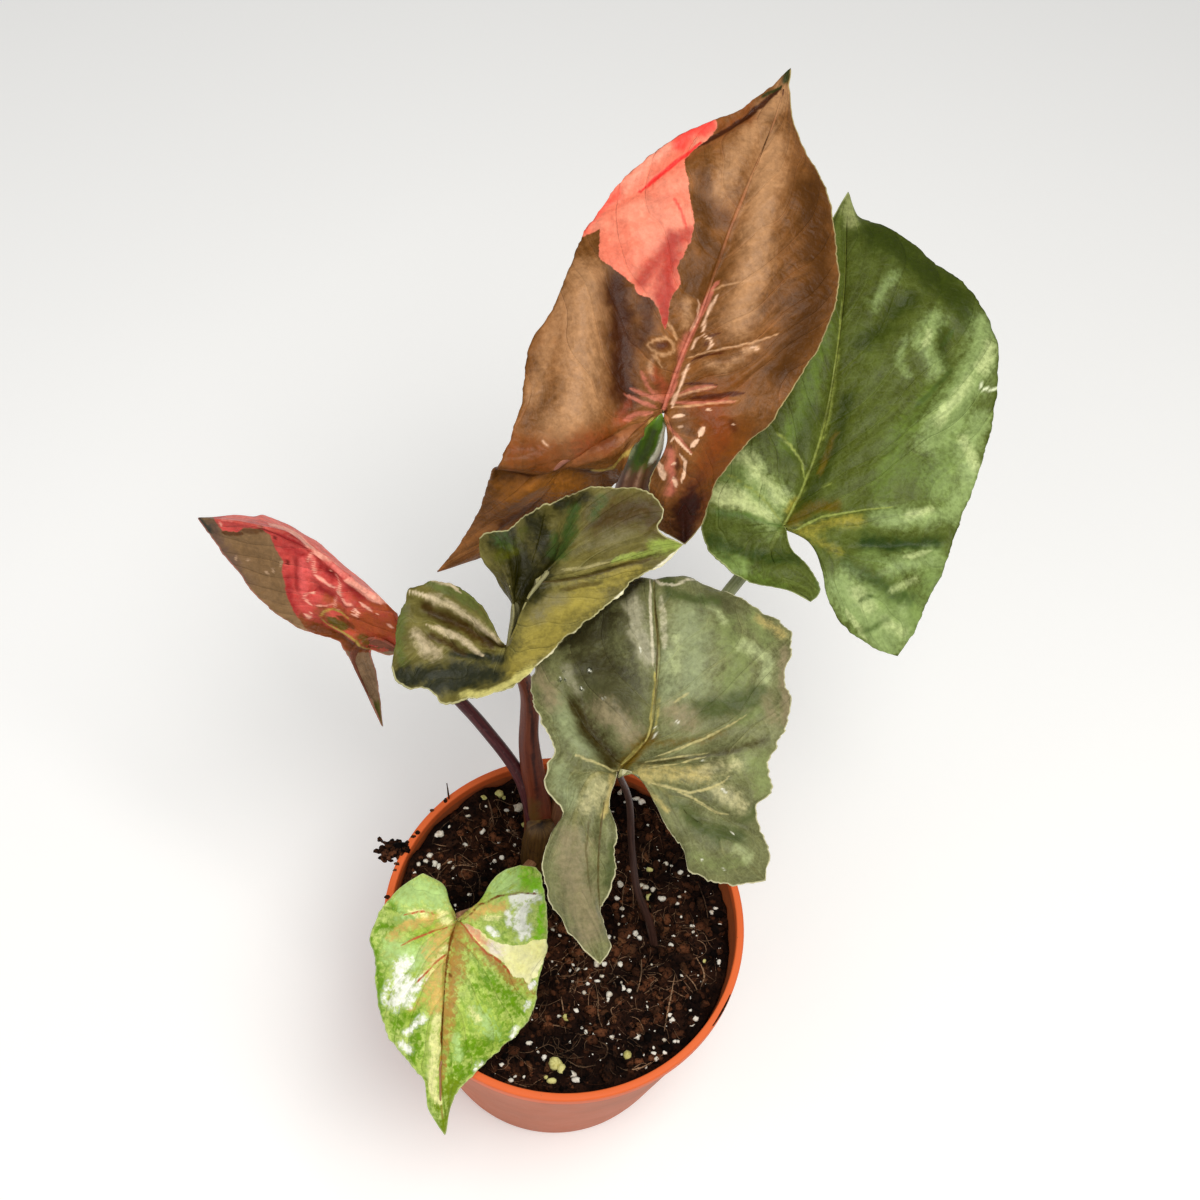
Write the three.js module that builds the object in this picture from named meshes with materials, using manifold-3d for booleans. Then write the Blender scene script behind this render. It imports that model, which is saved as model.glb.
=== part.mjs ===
// A young strawberry ice syngonium in its nursery pot: six arrow-shaped leaves on long stalks.
// Millimetres, +Z up. The origin is the centre of the pot's flat underside, and the front of the
// plant faces -Y.
import * as THREE from "three";
import { mergeVertices } from "three/addons/utils/BufferGeometryUtils.js";
import Module from "manifold-3d";

const wasm = await Module();
wasm.setup();

// Driving dimensions
const potHeight = 83;
const rimRadius = 52.5;
const baseRadius = 40;
const lipHeight = 4;
const lipThickness = 2.2;
const lipStep = 0.8;
const wallThickness = 1.5;
const floorThickness = 2;
const drainHoles = 6;
const drainRadius = 4;
const drainCircle = 26;
const soilLevel = 75;
const soilRelief = 1.6;
const bladeThickness = 0.7;
const crownFoot = [-10, 21, 62];
const crownHeight = 38;
const crownRadius = 5.4;
const stalkSeat = 1.3;
const gap = 0.3;
const roundSides = 64;

// Solids and meshes

// The closed geometry as a solid that can be joined and cut.
function toSolid(geometry) {
  const bare = geometry.clone();
  bare.deleteAttribute("normal");
  bare.deleteAttribute("uv");
  const merged = mergeVertices(bare, 1e-4);
  return new wasm.Manifold(
    new wasm.Mesh({
      numProp: 3,
      vertProperties: merged.attributes.position.array,
      triVerts: new Uint32Array(merged.index.array),
    }),
  );
}

function toGeometry(solid) {
  const mesh = solid.getMesh();
  const geometry = new THREE.BufferGeometry();
  geometry.setAttribute("position", new THREE.BufferAttribute(mesh.vertProperties, 3));
  geometry.setIndex(new THREE.BufferAttribute(mesh.triVerts, 1));
  geometry.computeVertexNormals();
  return geometry;
}

// A cut can leave crumbs beside the piece itself.
function largestBody(solid) {
  return solid.decompose().reduce((a, b) => (a.volume() > b.volume() ? a : b));
}

function namedMesh(name, geometry, color, roughness) {
  const material = new THREE.MeshStandardMaterial({ color, roughness, metalness: 0 });
  const mesh = new THREE.Mesh(geometry, material);
  mesh.name = name;
  return mesh;
}

// A solid of revolution round Z from [radius, height] points.
function turned(profile, sides = roundSides) {
  const points = profile.map(([radius, height]) => new THREE.Vector2(radius, height));
  return new THREE.LatheGeometry(points, sides).rotateX(Math.PI / 2);
}

function smoothCurve(points) {
  const places = points.map((point) => new THREE.Vector3(...point));
  return new THREE.CatmullRomCurve3(places, false, "centripetal");
}

// A round stalk along its route. It tapers from "foot" to "top", and "extra" makes it wider.
function stalkShape({ route, foot, top }, base, extra = 0) {
  const steps = 18;
  const path = smoothCurve([...route, [base[0], base[1], base[2] - stalkSeat]]);
  const section = new THREE.Shape();
  section.absarc(0, 0, 1, 0, 2 * Math.PI);
  const geometry = new THREE.ExtrudeGeometry(section, {
    steps,
    curveSegments: 5,
    bevelEnabled: false,
    extrudePath: path,
  });
  const centres = path.getSpacedPoints(steps);
  const place = geometry.attributes.position;
  const point = new THREE.Vector3();
  for (let i = 0; i < place.count; i++) {
    point.fromBufferAttribute(place, i);
    const near = centres.map((centre) => Math.abs(centre.distanceTo(point) - 1));
    const step = near.indexOf(Math.min(...near));
    const radius = foot + (top - foot) * (step / steps) ** 0.6 + extra;
    point.sub(centres[step]).multiplyScalar(radius).add(centres[step]);
    place.setXYZ(i, ...point.toArray());
  }
  return geometry;
}

// Pot

function outerRadius(height) {
  const top = rimRadius - lipStep;
  return baseRadius + ((top - baseRadius) * height) / (potHeight - lipHeight);
}

function makePot() {
  const lipUnder = potHeight - lipHeight;
  const mouth = rimRadius - lipThickness;
  const edge = 1.5;
  const profile = [
    [0, 0],
    [baseRadius - edge, 0],
    [outerRadius(edge), edge],
    [outerRadius(lipUnder), lipUnder],
    [rimRadius, lipUnder + lipStep],
    [rimRadius, potHeight - 0.6],
    [rimRadius - 0.6, potHeight],
    [mouth + 0.5, potHeight],
    [mouth, potHeight - 0.5],
    [outerRadius(lipUnder) - wallThickness, lipUnder - 1],
    [outerRadius(floorThickness) - wallThickness, floorThickness],
    [0, floorThickness],
  ];
  let pot = toSolid(turned(profile));
  for (let i = 0; i < drainHoles; i++) {
    const angle = (2 * Math.PI * (i + 0.5)) / drainHoles;
    const hole = new THREE.CylinderGeometry(drainRadius, drainRadius, 4 * floorThickness, 24);
    hole.rotateX(Math.PI / 2);
    hole.translate(drainCircle * Math.cos(angle), drainCircle * Math.sin(angle), 0);
    pot = pot.subtract(toSolid(hole));
  }
  return toGeometry(pot);
}

// Soil

// The mix is uneven on top, and a little lower at the back.
function soilHeight(x, y) {
  const lumps = Math.sin(0.31 * x + 1.2) * Math.cos(0.27 * y - 0.6);
  const crumbs = 0.5 * Math.sin(0.83 * x - 0.4 * y) * Math.sin(0.71 * y + 0.9);
  return soilLevel + soilRelief * (lumps + crumbs) - 0.03 * (y + rimRadius);
}

function makeSoil(holes) {
  const bottom = floorThickness + gap;
  const rings = 9;
  const fit = (height) => outerRadius(height) - wallThickness - gap;
  const profile = [[0, bottom]];
  profile.push([fit(bottom), bottom]);
  profile.push([fit(soilLevel - 8), soilLevel - 8]);
  const edgeHeight = soilLevel - 3;
  for (let i = 0; i <= rings; i++) {
    profile.push([fit(edgeHeight) * (1 - i / rings), soilLevel]);
  }
  const geometry = turned(profile, 48);
  const place = geometry.attributes.position;
  for (let i = 0; i < place.count; i++) {
    if (place.getZ(i) > soilLevel - 1) {
      place.setZ(i, soilHeight(place.getX(i), place.getY(i)));
    }
  }
  let soil = toSolid(geometry);
  for (const hole of holes) {
    soil = soil.subtract(hole);
  }
  return toGeometry(largestBody(soil));
}

// Crown and petioles

// The sheaths of the stalks are wrapped into one short stem.
function crownShape(extra) {
  const low = crownRadius + extra;
  const high = 0.85 * crownRadius + extra;
  const dome = 0.7 * high;
  const steps = 5;
  const profile = [
    [0, -extra],
    [low, -extra],
    [low, 0.6 * crownHeight],
    [high, crownHeight - dome],
  ];
  for (let i = 1; i <= steps; i++) {
    const turn = (Math.PI / 2) * (i / steps);
    const out = i === steps ? 0 : high * Math.cos(turn);
    profile.push([out, crownHeight + extra - dome * (1 - Math.sin(turn))]);
  }
  const geometry = turned(profile, 20);
  geometry.translate(...crownFoot);
  return geometry;
}

// Each stalk runs from its root to the base of its blade, and tapers upwards.
const petioles = {
  olive: {
    color: 0x7e3423, foot: 2.8, top: 1.9,
    route: [[-10, 24, 86], [-13, 28, 106], [-16, 33, 126], [-16, 36, 147]],
  },
  pink: {
    color: 0x4a1417, foot: 2.2, top: 1.7,
    route: [[-11, 22, 92], [-17, 29, 112], [-27, 35, 125], [-36, 39, 135]],
  },
  bronze: {
    color: 0x7a3f2a, foot: 2.2, top: 2,
    route: [[-7, 22, 88], [-5, 29, 104], [-1, 43, 120], [5, 65, 150], [9, 80, 185]],
  },
  green: {
    color: 0x6f7350, foot: 2.1, top: 1.8,
    route: [[-7, 21, 86], [0, 29, 100], [16, 46, 126], [35, 66, 161]],
  },
  cream: {
    color: 0x86503a, foot: 1.5, top: 1.2,
    route: [[-11, 17, 82], [-19, 2, 89], [-25, -7, 98]],
  },
  grey: {
    color: 0x4a2d22, foot: 1.4, top: 1.2,
    route: [[29, -5, 66], [25, 2, 80], [20, 7, 92], [17, 13, 105], [14, 15, 131]],
  },
};

// Leaf blades

// A blade is a thin sheet. On each side of the midrib a panel runs out to the side margin. A basal
// lobe on each side has its own rib, with one panel out to its shoulder and one in to the sinus.
class Sheet {
  constructor() {
    this.points = [];
    this.lifts = [];
    this.faces = [];
    this.known = new Map();
  }

  vertex(point, lift) {
    const key = point.toArray().map((value) => Math.round(value * 1000)).join();
    if (!this.known.has(key)) {
      this.known.set(key, this.points.length);
      this.points.push(point.clone());
      this.lifts.push(lift);
    }
    return this.known.get(key);
  }

  face(a, b, c) {
    if (a !== b && b !== c && c !== a) this.faces.push([a, b, c]);
  }

  normals() {
    const sums = this.points.map(() => new THREE.Vector3());
    for (const face of this.faces) {
      const [a, b, c] = face.map((i) => this.points[i]);
      const normal = b.clone().sub(a).cross(c.clone().sub(a));
      face.forEach((i) => sums[i].add(normal));
    }
    return sums.map((sum) => sum.normalize());
  }

  raise() {
    this.normals().forEach((normal, i) => this.points[i].addScaledVector(normal, this.lifts[i]));
  }

  // The sheet as a closed solid, split into triangles alike on both faces.
  solid(thickness) {
    const count = this.points.length;
    const normals = this.normals();
    const place = [];
    for (const sign of [1, -1]) {
      this.points.forEach((point, i) => {
        place.push(...point.clone().addScaledVector(normals[i], (sign * thickness) / 2).toArray());
      });
    }
    const index = [];
    const edges = new Set();
    for (const [a, b, c] of this.faces) {
      index.push(a, b, c, a + count, c + count, b + count);
      [[a, b], [b, c], [c, a]].forEach((edge) => edges.add(edge.join()));
    }
    for (const edge of edges) {
      const [a, b] = edge.split(",").map(Number);
      if (!edges.has([b, a].join())) {
        index.push(b, a, a + count, b, a + count, b + count);
      }
    }
    const geometry = new THREE.BufferGeometry();
    geometry.setAttribute("position", new THREE.Float32BufferAttribute(place, 3));
    geometry.setIndex(index);
    geometry.computeVertexNormals();
    return geometry;
  }
}

// How far the surface stands off the plain loft: an arch between rib and margin, puckers between
// the side veins, and a wave along the margin.
function relief(leaf, span, along, across, edge) {
  const size = Math.min(1, span / 15);
  const arch = leaf.arch * span * 4 * across * (1 - across);
  const vein = Math.abs(Math.sin(Math.PI * leaf.veins * (along - 0.25 * across)));
  const pucker = leaf.pucker * size * Math.sin(Math.PI * across) * vein;
  const wave = edge * leaf.wave * size * across ** 3 * Math.sin(2 * Math.PI * leaf.waves * along);
  return arch + pucker + wave;
}

// One panel of the blade between a rib and a margin. "from" and "to" place it along the leaf.
function panel(sheet, leaf, rib, margin, from, to, shape) {
  const { rows, columns, turn, crowd } = shape;
  const grid = [];
  for (let i = 0; i <= rows; i++) {
    const share = i / rows;
    const ribShare = crowd > 0 ? share ** crowd : 1 - (1 - share) ** -crowd;
    const inner = rib.getPointAt(ribShare);
    const outer = margin.getPointAt(share);
    const span = inner.distanceTo(outer);
    const along = from + (to - from) * share;
    const row = [];
    for (let j = 0; j <= columns; j++) {
      const across = j / columns;
      const lift = relief(leaf, span, along, across, shape.edge);
      row.push(sheet.vertex(inner.clone().lerp(outer, across), lift));
    }
    grid.push(row);
  }
  for (let i = 0; i < rows; i++) {
    for (let j = 0; j < columns; j++) {
      const quad = [grid[i][j], grid[i + 1][j], grid[i + 1][j + 1], grid[i][j + 1]];
      if (turn < 0) quad.reverse();
      sheet.face(quad[0], quad[1], quad[2]);
      sheet.face(quad[0], quad[2], quad[3]);
    }
  }
}

function bladeSheet(leaf) {
  const sheet = new Sheet();
  const midrib = smoothCurve([leaf.base, ...leaf.midrib, leaf.tip]);
  const { rows, columns } = leaf;
  const lobeRows = Math.round(0.6 * rows);
  for (const [half, turn] of [[leaf.left, 1], [leaf.right, -1]]) {
    const side = smoothCurve([half.corner, ...half.side, leaf.tip]);
    const lobe = smoothCurve([half.lobeTip, ...half.lobe, leaf.base]);
    const shoulder = smoothCurve([half.lobeTip, ...half.shoulder, half.corner]);
    const sinus = smoothCurve([half.lobeTip, ...half.sinus, leaf.base]);
    const outward = { rows, columns, turn, crowd: 1.3, edge: 1 };
    panel(sheet, leaf, midrib, side, 0, 1, outward);
    panel(sheet, leaf, lobe, shoulder, -0.5, 0, { ...outward, rows: lobeRows, crowd: -1.3 });
    const inward = { rows: lobeRows, columns: Math.ceil(columns / 2), turn: -turn, crowd: -1.3, edge: 0 };
    panel(sheet, leaf, lobe, sinus, -0.5, 0, inward);
  }
  sheet.raise();
  return sheet;
}

// The points give each rib and margin, from the lobe's tip forwards.
const leaves = {
  bronze: {
    color: 0x96643c, roughness: 0.35, rows: 16, columns: 6,
    arch: 0.06, pucker: 1.2, veins: 6, wave: 0.8, waves: 3.5,
    base: [11, 83, 212], tip: [35, 169, 253],
    midrib: [[14, 94, 219], [18, 105, 226], [21, 116, 233], [26, 133, 242], [31, 149, 248]],
    left: {
      lobeTip: [-44, 61, 163], corner: [-28, 62, 208],
      lobe: [[-31, 66, 172], [-20, 69, 185], [-10, 67, 206], [1, 73, 211]],
      shoulder: [[-39, 65, 169], [-34, 67, 182], [-31, 65, 196]],
      side: [[-24, 74, 217], [-23, 88, 225], [-18, 99, 230], [-13, 117, 237], [-6, 129, 242], [8, 143, 248], [24, 155, 250]],
      sinus: [[-34, 66, 164], [-12, 73, 173], [0, 77, 187], [3, 68, 207], [6, 76, 211]],
    },
    right: {
      lobeTip: [21, 67, 179], corner: [39, 85, 210],
      lobe: [[18, 71, 200], [15, 76, 209]],
      shoulder: [[25, 70, 186], [27, 75, 197], [32, 79, 205]],
      side: [[44, 95, 215], [49, 103, 221], [52, 114, 228], [51, 124, 233], [47, 138, 239], [40, 149, 245], [36, 157, 248]],
      sinus: [[12, 69, 185], [10, 72, 198], [13, 76, 207]],
    },
  },
  green: {
    color: 0x5a7a3e, roughness: 0.5, rows: 16, columns: 6,
    arch: 0.05, pucker: 1, veins: 6, wave: 1, waves: 4,
    base: [47, 77, 178], tip: [58, 171, 214],
    midrib: [[51, 86, 183], [55, 100, 190], [57, 118, 199], [58, 135, 206], [58, 153, 211]],
    left: {
      lobeTip: [56, 60, 169], corner: [25, 74, 177],
      lobe: [[47, 63, 175], [44, 70, 177]],
      shoulder: [[49, 61, 172], [39, 62, 172], [31, 66, 174]],
      side: [[27, 85, 182], [34, 102, 191], [38, 121, 199], [43, 139, 206], [51, 155, 211]],
      sinus: [[58, 62, 171], [54, 67, 175], [49, 72, 177]],
    },
    right: {
      lobeTip: [80, 49, 164], corner: [96, 89, 188],
      lobe: [[65, 64, 177], [55, 73, 179]],
      shoulder: [[83, 54, 167], [88, 65, 174], [91, 74, 180]],
      side: [[100, 105, 195], [101, 118, 200], [100, 131, 204], [93, 142, 207], [83, 151, 210], [68, 160, 212], [61, 164, 212]],
      sinus: [[74, 50, 165], [67, 53, 167], [60, 59, 172], [58, 65, 176], [55, 72, 178]],
    },
  },
  grey: {
    color: 0x6e7558, roughness: 0.45, rows: 14, columns: 6,
    arch: 0.06, pucker: 0.9, veins: 4, wave: 1, waves: 3.5,
    base: [10, 10, 158], tip: [15, 64, 159],
    midrib: [[16, 18, 161], [17, 29, 165], [17, 38, 169], [15, 49, 172], [14, 59, 172]],
    left: {
      lobeTip: [10, -33, 136], corner: [-7, 12, 161],
      lobe: [[2, -18, 152], [0, -3, 159], [3, 6, 160]],
      shoulder: [[5, -30, 139], [-2, -24, 144], [-6, -18, 150], [-6, -10, 155], [-3, -4, 158], [-8, 2, 160]],
      side: [[-12, 21, 162], [-15, 31, 163], [-11, 38, 165], [-3, 47, 168], [3, 53, 170], [9, 61, 170]],
      sinus: [[12, -29, 138], [9, -24, 143], [11, -15, 151], [10, -6, 156], [8, 1, 157]],
    },
    right: {
      lobeTip: [49, -11, 147], corner: [47, 16, 159],
      lobe: [[40, -6, 153], [28, 0, 157], [18, 7, 159]],
      shoulder: [[49, -5, 150], [45, 4, 155], [48, 9, 157]],
      side: [[52, 29, 163], [50, 38, 165], [51, 51, 168], [41, 56, 169], [32, 59, 170], [24, 63, 170]],
      sinus: [[41, -13, 147], [35, -13, 148], [30, -12, 150], [28, -8, 152], [24, -4, 154], [19, 3, 157], [15, 8, 159]],
    },
  },
  olive: {
    color: 0x7c7a48, roughness: 0.45, rows: 14, columns: 6,
    arch: 0.08, pucker: 0.6, veins: 4, wave: 0.8, waves: 3,
    base: [-22, 35, 169], tip: [20, 60, 188],
    midrib: [[-20, 36, 177], [-18, 40, 184], [-15, 45, 186], [-7, 48, 187], [3, 52, 188], [12, 56, 189]],
    left: {
      lobeTip: [-50, 26, 169], corner: [-28, 22, 165],
      lobe: [[-42, 34, 169], [-32, 35, 168]],
      shoulder: [[-48, 23, 166], [-41, 24, 163], [-36, 22, 161]],
      side: [[-19, 25, 168], [-12, 32, 172], [-3, 40, 177], [4, 45, 181], [9, 51, 184], [15, 54, 186]],
      sinus: [[-50, 41, 172], [-48, 47, 174], [-41, 50, 175], [-33, 46, 175], [-25, 38, 173]],
    },
    right: {
      lobeTip: [-32, 58, 184], corner: [-16, 65, 192],
      lobe: [[-24, 48, 183], [-21, 41, 178]],
      shoulder: [[-30, 59, 186], [-25, 60, 187], [-20, 64, 189]],
      side: [[-5, 69, 195], [4, 70, 196], [13, 68, 195], [14, 65, 194], [13, 61, 192]],
      sinus: [[-31, 53, 183], [-27, 50, 180], [-24, 47, 177], [-20, 44, 175]],
    },
  },
  pink: {
    color: 0xb0564a, roughness: 0.4, rows: 14, columns: 5,
    arch: 0.12, pucker: 0.8, veins: 5, wave: 0.5, waves: 3,
    base: [-51, 43, 150], tip: [-110, 68, 166],
    midrib: [[-55, 50, 158], [-65, 54, 163], [-76, 60, 167], [-87, 64, 169], [-98, 66, 169]],
    left: {
      lobeTip: [-58, 39, 114], corner: [-75, 46, 148],
      lobe: [[-62, 41, 130], [-65, 43, 148], [-59, 45, 152]],
      shoulder: [[-61, 40, 128], [-65, 43, 140], [-69, 45, 146]],
      side: [[-83, 48, 150], [-91, 52, 154], [-99, 58, 158], [-104, 63, 161]],
      sinus: [[-59, 43, 136], [-60, 44, 147], [-55, 43, 147]],
    },
    right: {
      lobeTip: [-55, 56, 148], corner: [-71, 64, 152],
      lobe: [[-53, 50, 150]],
      shoulder: [[-62, 60, 150]],
      side: [[-79, 70, 156], [-90, 73, 160], [-100, 72, 163]],
      sinus: [[-53, 51, 146]],
    },
  },
  cream: {
    color: 0x9cb43c, roughness: 0.45, rows: 12, columns: 5,
    arch: 0.06, pucker: 0.5, veins: 4, wave: 0.4, waves: 3,
    base: [-29, -13, 105], tip: [-26, -62, 74],
    midrib: [[-31, -22, 101], [-30, -35, 96], [-29, -46, 88], [-28, -55, 81]],
    left: {
      lobeTip: [-14, 2, 111], corner: [-4, -16, 100],
      lobe: [[-22, -7, 108]],
      shoulder: [[-9, 2, 110], [-7, -2, 108], [-5, -9, 104]],
      side: [[-5, -23, 96], [-6, -32, 91], [-12, -40, 88], [-21, -49, 84], [-25, -54, 79]],
      sinus: [[-18, 0, 111], [-21, -3, 109], [-23, -8, 107], [-25, -11, 105]],
    },
    right: {
      lobeTip: [-40, -3, 110], corner: [-50, -24, 99],
      lobe: [[-33, -9, 109]],
      shoulder: [[-45, -6, 107], [-51, -14, 103], [-52, -20, 100]],
      side: [[-48, -34, 94], [-43, -43, 89], [-37, -48, 86], [-33, -51, 83], [-31, -57, 78]],
      sinus: [[-34, -5, 108], [-32, -9, 107]],
    },
  },
};

// Assembly

const plant = new THREE.Group();
plant.add(namedMesh("pot", makePot(), 0xc46a45, 0.55));
plant.add(namedMesh("crown", crownShape(0), 0x5a4426, 0.7));

// The stalks fold round each other where they leave the crown, each clear of the ones before it.
const crownClearance = toSolid(crownShape(gap));
const soilHoles = [crownClearance];
const standing = [crownClearance];
for (const [name, petiole] of Object.entries(petioles)) {
  const leaf = leaves[name];
  const sheet = bladeSheet(leaf);
  plant.add(namedMesh("leaf_" + name, sheet.solid(bladeThickness), leaf.color, leaf.roughness));
  const bladeClearance = toSolid(sheet.solid(bladeThickness + 4 * gap));
  let stalk = toSolid(stalkShape(petiole, leaf.base)).subtract(bladeClearance);
  standing.forEach((solid) => (stalk = stalk.subtract(solid)));
  plant.add(namedMesh("petiole_" + name, toGeometry(largestBody(stalk)), petiole.color, 0.5));
  const clearance = toSolid(stalkShape(petiole, leaf.base, gap));
  standing.push(clearance);
  soilHoles.push(clearance);
}
plant.add(namedMesh("soil", makeSoil(soilHoles), 0x2c1f18, 0.95));

export default plant;
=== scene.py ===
# Dresses the potted strawberry ice syngonium: leaves, stalks, soil and pot round the fixed frame.
# Lengths in the dictionaries are millimetres, with +Z up and the front towards -Y, and shades are
# red, green and blue as the eye sees them, 0 to 255.
import bisect
import math
import random

import bmesh
import bpy
from mathutils import Euler, Matrix, Vector, noise


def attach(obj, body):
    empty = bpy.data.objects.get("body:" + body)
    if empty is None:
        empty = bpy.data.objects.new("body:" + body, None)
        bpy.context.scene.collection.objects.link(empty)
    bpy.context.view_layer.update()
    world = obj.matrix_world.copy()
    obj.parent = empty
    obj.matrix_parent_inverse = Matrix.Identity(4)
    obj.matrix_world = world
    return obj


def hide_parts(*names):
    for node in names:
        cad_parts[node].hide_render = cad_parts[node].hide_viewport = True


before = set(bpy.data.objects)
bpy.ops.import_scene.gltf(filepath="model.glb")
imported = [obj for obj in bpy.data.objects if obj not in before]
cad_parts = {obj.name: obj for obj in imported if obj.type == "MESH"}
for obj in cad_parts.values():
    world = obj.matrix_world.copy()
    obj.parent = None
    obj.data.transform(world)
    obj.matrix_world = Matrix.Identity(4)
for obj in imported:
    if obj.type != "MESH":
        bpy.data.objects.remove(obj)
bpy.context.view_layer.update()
mm = 0.001
noise.seed_set(7)    # or noise_vector would differ from run to run

# Camera, at the photograph's angle

cameraView = {"place": (0.4, -163.2, 482.2), "pitch": 55.35, "roll": 6.11, "fieldOfView": 45}
halfPicture = 600    # the photograph's frame is 1200 by 1200 steps
reachOfPicture = halfPicture / math.tan(math.radians(cameraView["fieldOfView"] / 2))


def cameraAxes():
    pitch = math.radians(cameraView["pitch"])
    roll = math.radians(cameraView["roll"])
    ahead = Vector((0, math.cos(pitch), -math.sin(pitch)))
    level = Vector((1, 0, 0))
    over = level.cross(ahead)
    right = level * math.cos(roll) + over * math.sin(roll)
    up = over * math.cos(roll) - level * math.sin(roll)
    return Vector(cameraView["place"]) * mm, right, up, ahead


def addCamera():
    place, right, up, ahead = cameraAxes()
    turn = Matrix((right, up, -ahead)).transposed().to_4x4()
    lens = bpy.data.cameras.new("camera")
    lens.sensor_fit = "HORIZONTAL"
    lens.angle = math.radians(cameraView["fieldOfView"])
    lens.clip_start = 0.01
    camera = bpy.data.objects.new("camera", lens)
    bpy.context.scene.collection.objects.link(camera)
    camera.matrix_world = Matrix.Translation(place) @ turn
    bpy.context.scene.camera = camera


def pictureSpot(point):
    # where a point of the plant shows in the picture
    place, right, up, ahead = cameraAxes()
    offset = point - place
    reach = reachOfPicture / offset.dot(ahead)
    return halfPicture + reach * offset.dot(right), halfPicture - reach * offset.dot(up)


def pointBehind(x, y, height):
    # the point at this height that shows at a spot of the picture
    place, right, up, ahead = cameraAxes()
    line = ahead + right * ((x - halfPicture) / reachOfPicture) - up * ((y - halfPicture) / reachOfPicture)
    return place + line * ((height * mm - place.z) / line.z)


addCamera()
print("camera placed")

# Shader building


def paint(red, green, blue):
    # a shade as light
    return tuple((part / 255 / 12.92) if part <= 10 else ((part / 255 + 0.055) / 1.055) ** 2.4
                 for part in (red, green, blue))


def reckoned(operation, flipped=False):
    # a sum with the wire first or, where it is flipped, last
    def method(wire, other):
        return wire.shader.sum(operation, *((other, wire) if flipped else (wire, other)))
    return method


class Wire:
    # a node's output that can be used in sums
    def __init__(self, shader, socket):
        self.shader = shader
        self.socket = socket

    __add__, __radd__ = reckoned("ADD"), reckoned("ADD", True)
    __sub__, __rsub__ = reckoned("SUBTRACT"), reckoned("SUBTRACT", True)
    __mul__, __rmul__ = reckoned("MULTIPLY"), reckoned("MULTIPLY", True)

    def __abs__(self):
        return self.shader.sum("ABSOLUTE", self)


class Shader:
    def __init__(self, name):
        self.material = bpy.data.materials.new(name)
        self.material.use_nodes = True
        self.tree = self.material.node_tree
        self.tree.nodes.clear()
        self.surface = self.tree.nodes.new("ShaderNodeBsdfPrincipled")
        output = self.tree.nodes.new("ShaderNodeOutputMaterial")
        self.tree.links.new(self.surface.outputs["BSDF"], output.inputs["Surface"])

    def plug(self, socket, value):
        if isinstance(value, Wire):
            self.tree.links.new(value.socket, socket)
        else:
            socket.default_value = value

    def node(self, kind, settings, values, output=0):
        made = self.tree.nodes.new(kind)
        for key, value in settings.items():
            setattr(made, key, value)
        for key, value in values.items():
            self.plug(made.inputs[key], value)
        return Wire(self, made.outputs[output])

    def sum(self, operation, *values):
        return self.node("ShaderNodeMath", {"operation": operation}, dict(enumerate(values)))

    def smooth(self, value, low, high):
        # 0 below low, 1 above high
        settings = {"interpolation_type": "SMOOTHSTEP"}
        return self.node("ShaderNodeMapRange", settings, {0: value, 1: low, 2: high})

    def shade(self, value):
        return value if isinstance(value, Wire) else (*paint(*value), 1)

    def blend(self, share, first, second, way="MIX"):
        settings = {"data_type": "RGBA", "blend_type": way}
        values = {0: share, 6: self.shade(first), 7: self.shade(second)}
        return self.node("ShaderNodeMix", settings, values, 2)

    def attribute(self, name):
        return self.node("ShaderNodeAttribute", {"attribute_name": name}, {}, 2)

    def place(self):
        return self.node("ShaderNodeTexCoord", {}, {}, 3)

    def point(self, across, along, up=0.0):
        return self.node("ShaderNodeCombineXYZ", {}, {0: across, 1: along, 2: up})

    def noise(self, where, scale, detail=3.0, rough=0.55, twist=0.0):
        values = {"Vector": where, "Scale": scale, "Detail": detail,
                  "Roughness": rough, "Distortion": twist}
        return self.node("ShaderNodeTexNoise", {}, values)

    def cells(self, where, scale):
        # how far each spot is from the edge of its cell
        settings = {"feature": "DISTANCE_TO_EDGE"}
        return self.node("ShaderNodeTexVoronoi", settings, {"Vector": where, "Scale": scale})

    def bump(self, height, distance, strength):
        values = {"Height": height, "Distance": distance, "Strength": strength}
        return self.node("ShaderNodeBump", {}, values)

    def finish(self, values):
        for key, value in values.items():
            self.plug(self.surface.inputs[key], value)
        return self.material


# Curves and meshes


class Path:
    # a smooth curve through points, walked by its length
    def __init__(self, points, fineness=24):
        places = [Vector(point) * mm for point in points]
        before = places[0] * 2 - places[1]
        after = places[-1] * 2 - places[-2]
        places = [before, *places, after]
        self.places = [places[1]]
        for i in range(1, len(places) - 2):
            for k in range(1, fineness + 1):
                self.places.append(self.between(places[i - 1:i + 3], k / fineness))
        self.marks = [0.0]
        for a, b in zip(self.places, self.places[1:]):
            self.marks.append(self.marks[-1] + (b - a).length)
        self.length = self.marks[-1]

    def between(self, four, share):
        gaps = [max((b - a).length, 1e-6) ** 0.5 for a, b in zip(four, four[1:])]
        a, b, c, d = four
        leave = ((b - a) / gaps[0] - (c - a) / (gaps[0] + gaps[1]) + (c - b) / gaps[1]) * gaps[1]
        arrive = ((c - b) / gaps[1] - (d - b) / (gaps[1] + gaps[2]) + (d - c) / gaps[2]) * gaps[1]
        s2 = share * share
        s3 = s2 * share
        return (b * (2 * s3 - 3 * s2 + 1) + leave * (s3 - 2 * s2 + share)
                + c * (3 * s2 - 2 * s3) + arrive * (s3 - s2))

    def at(self, share):
        target = min(max(share, 0), 1) * self.length
        high = min(bisect.bisect_right(self.marks, target), len(self.marks) - 1)
        low = high - 1
        span = max(self.marks[high] - self.marks[low], 1e-9)
        return self.places[low].lerp(self.places[high], (target - self.marks[low]) / span)

    def steps(self, count):
        return [self.at(i / count) for i in range(count + 1)]


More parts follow.
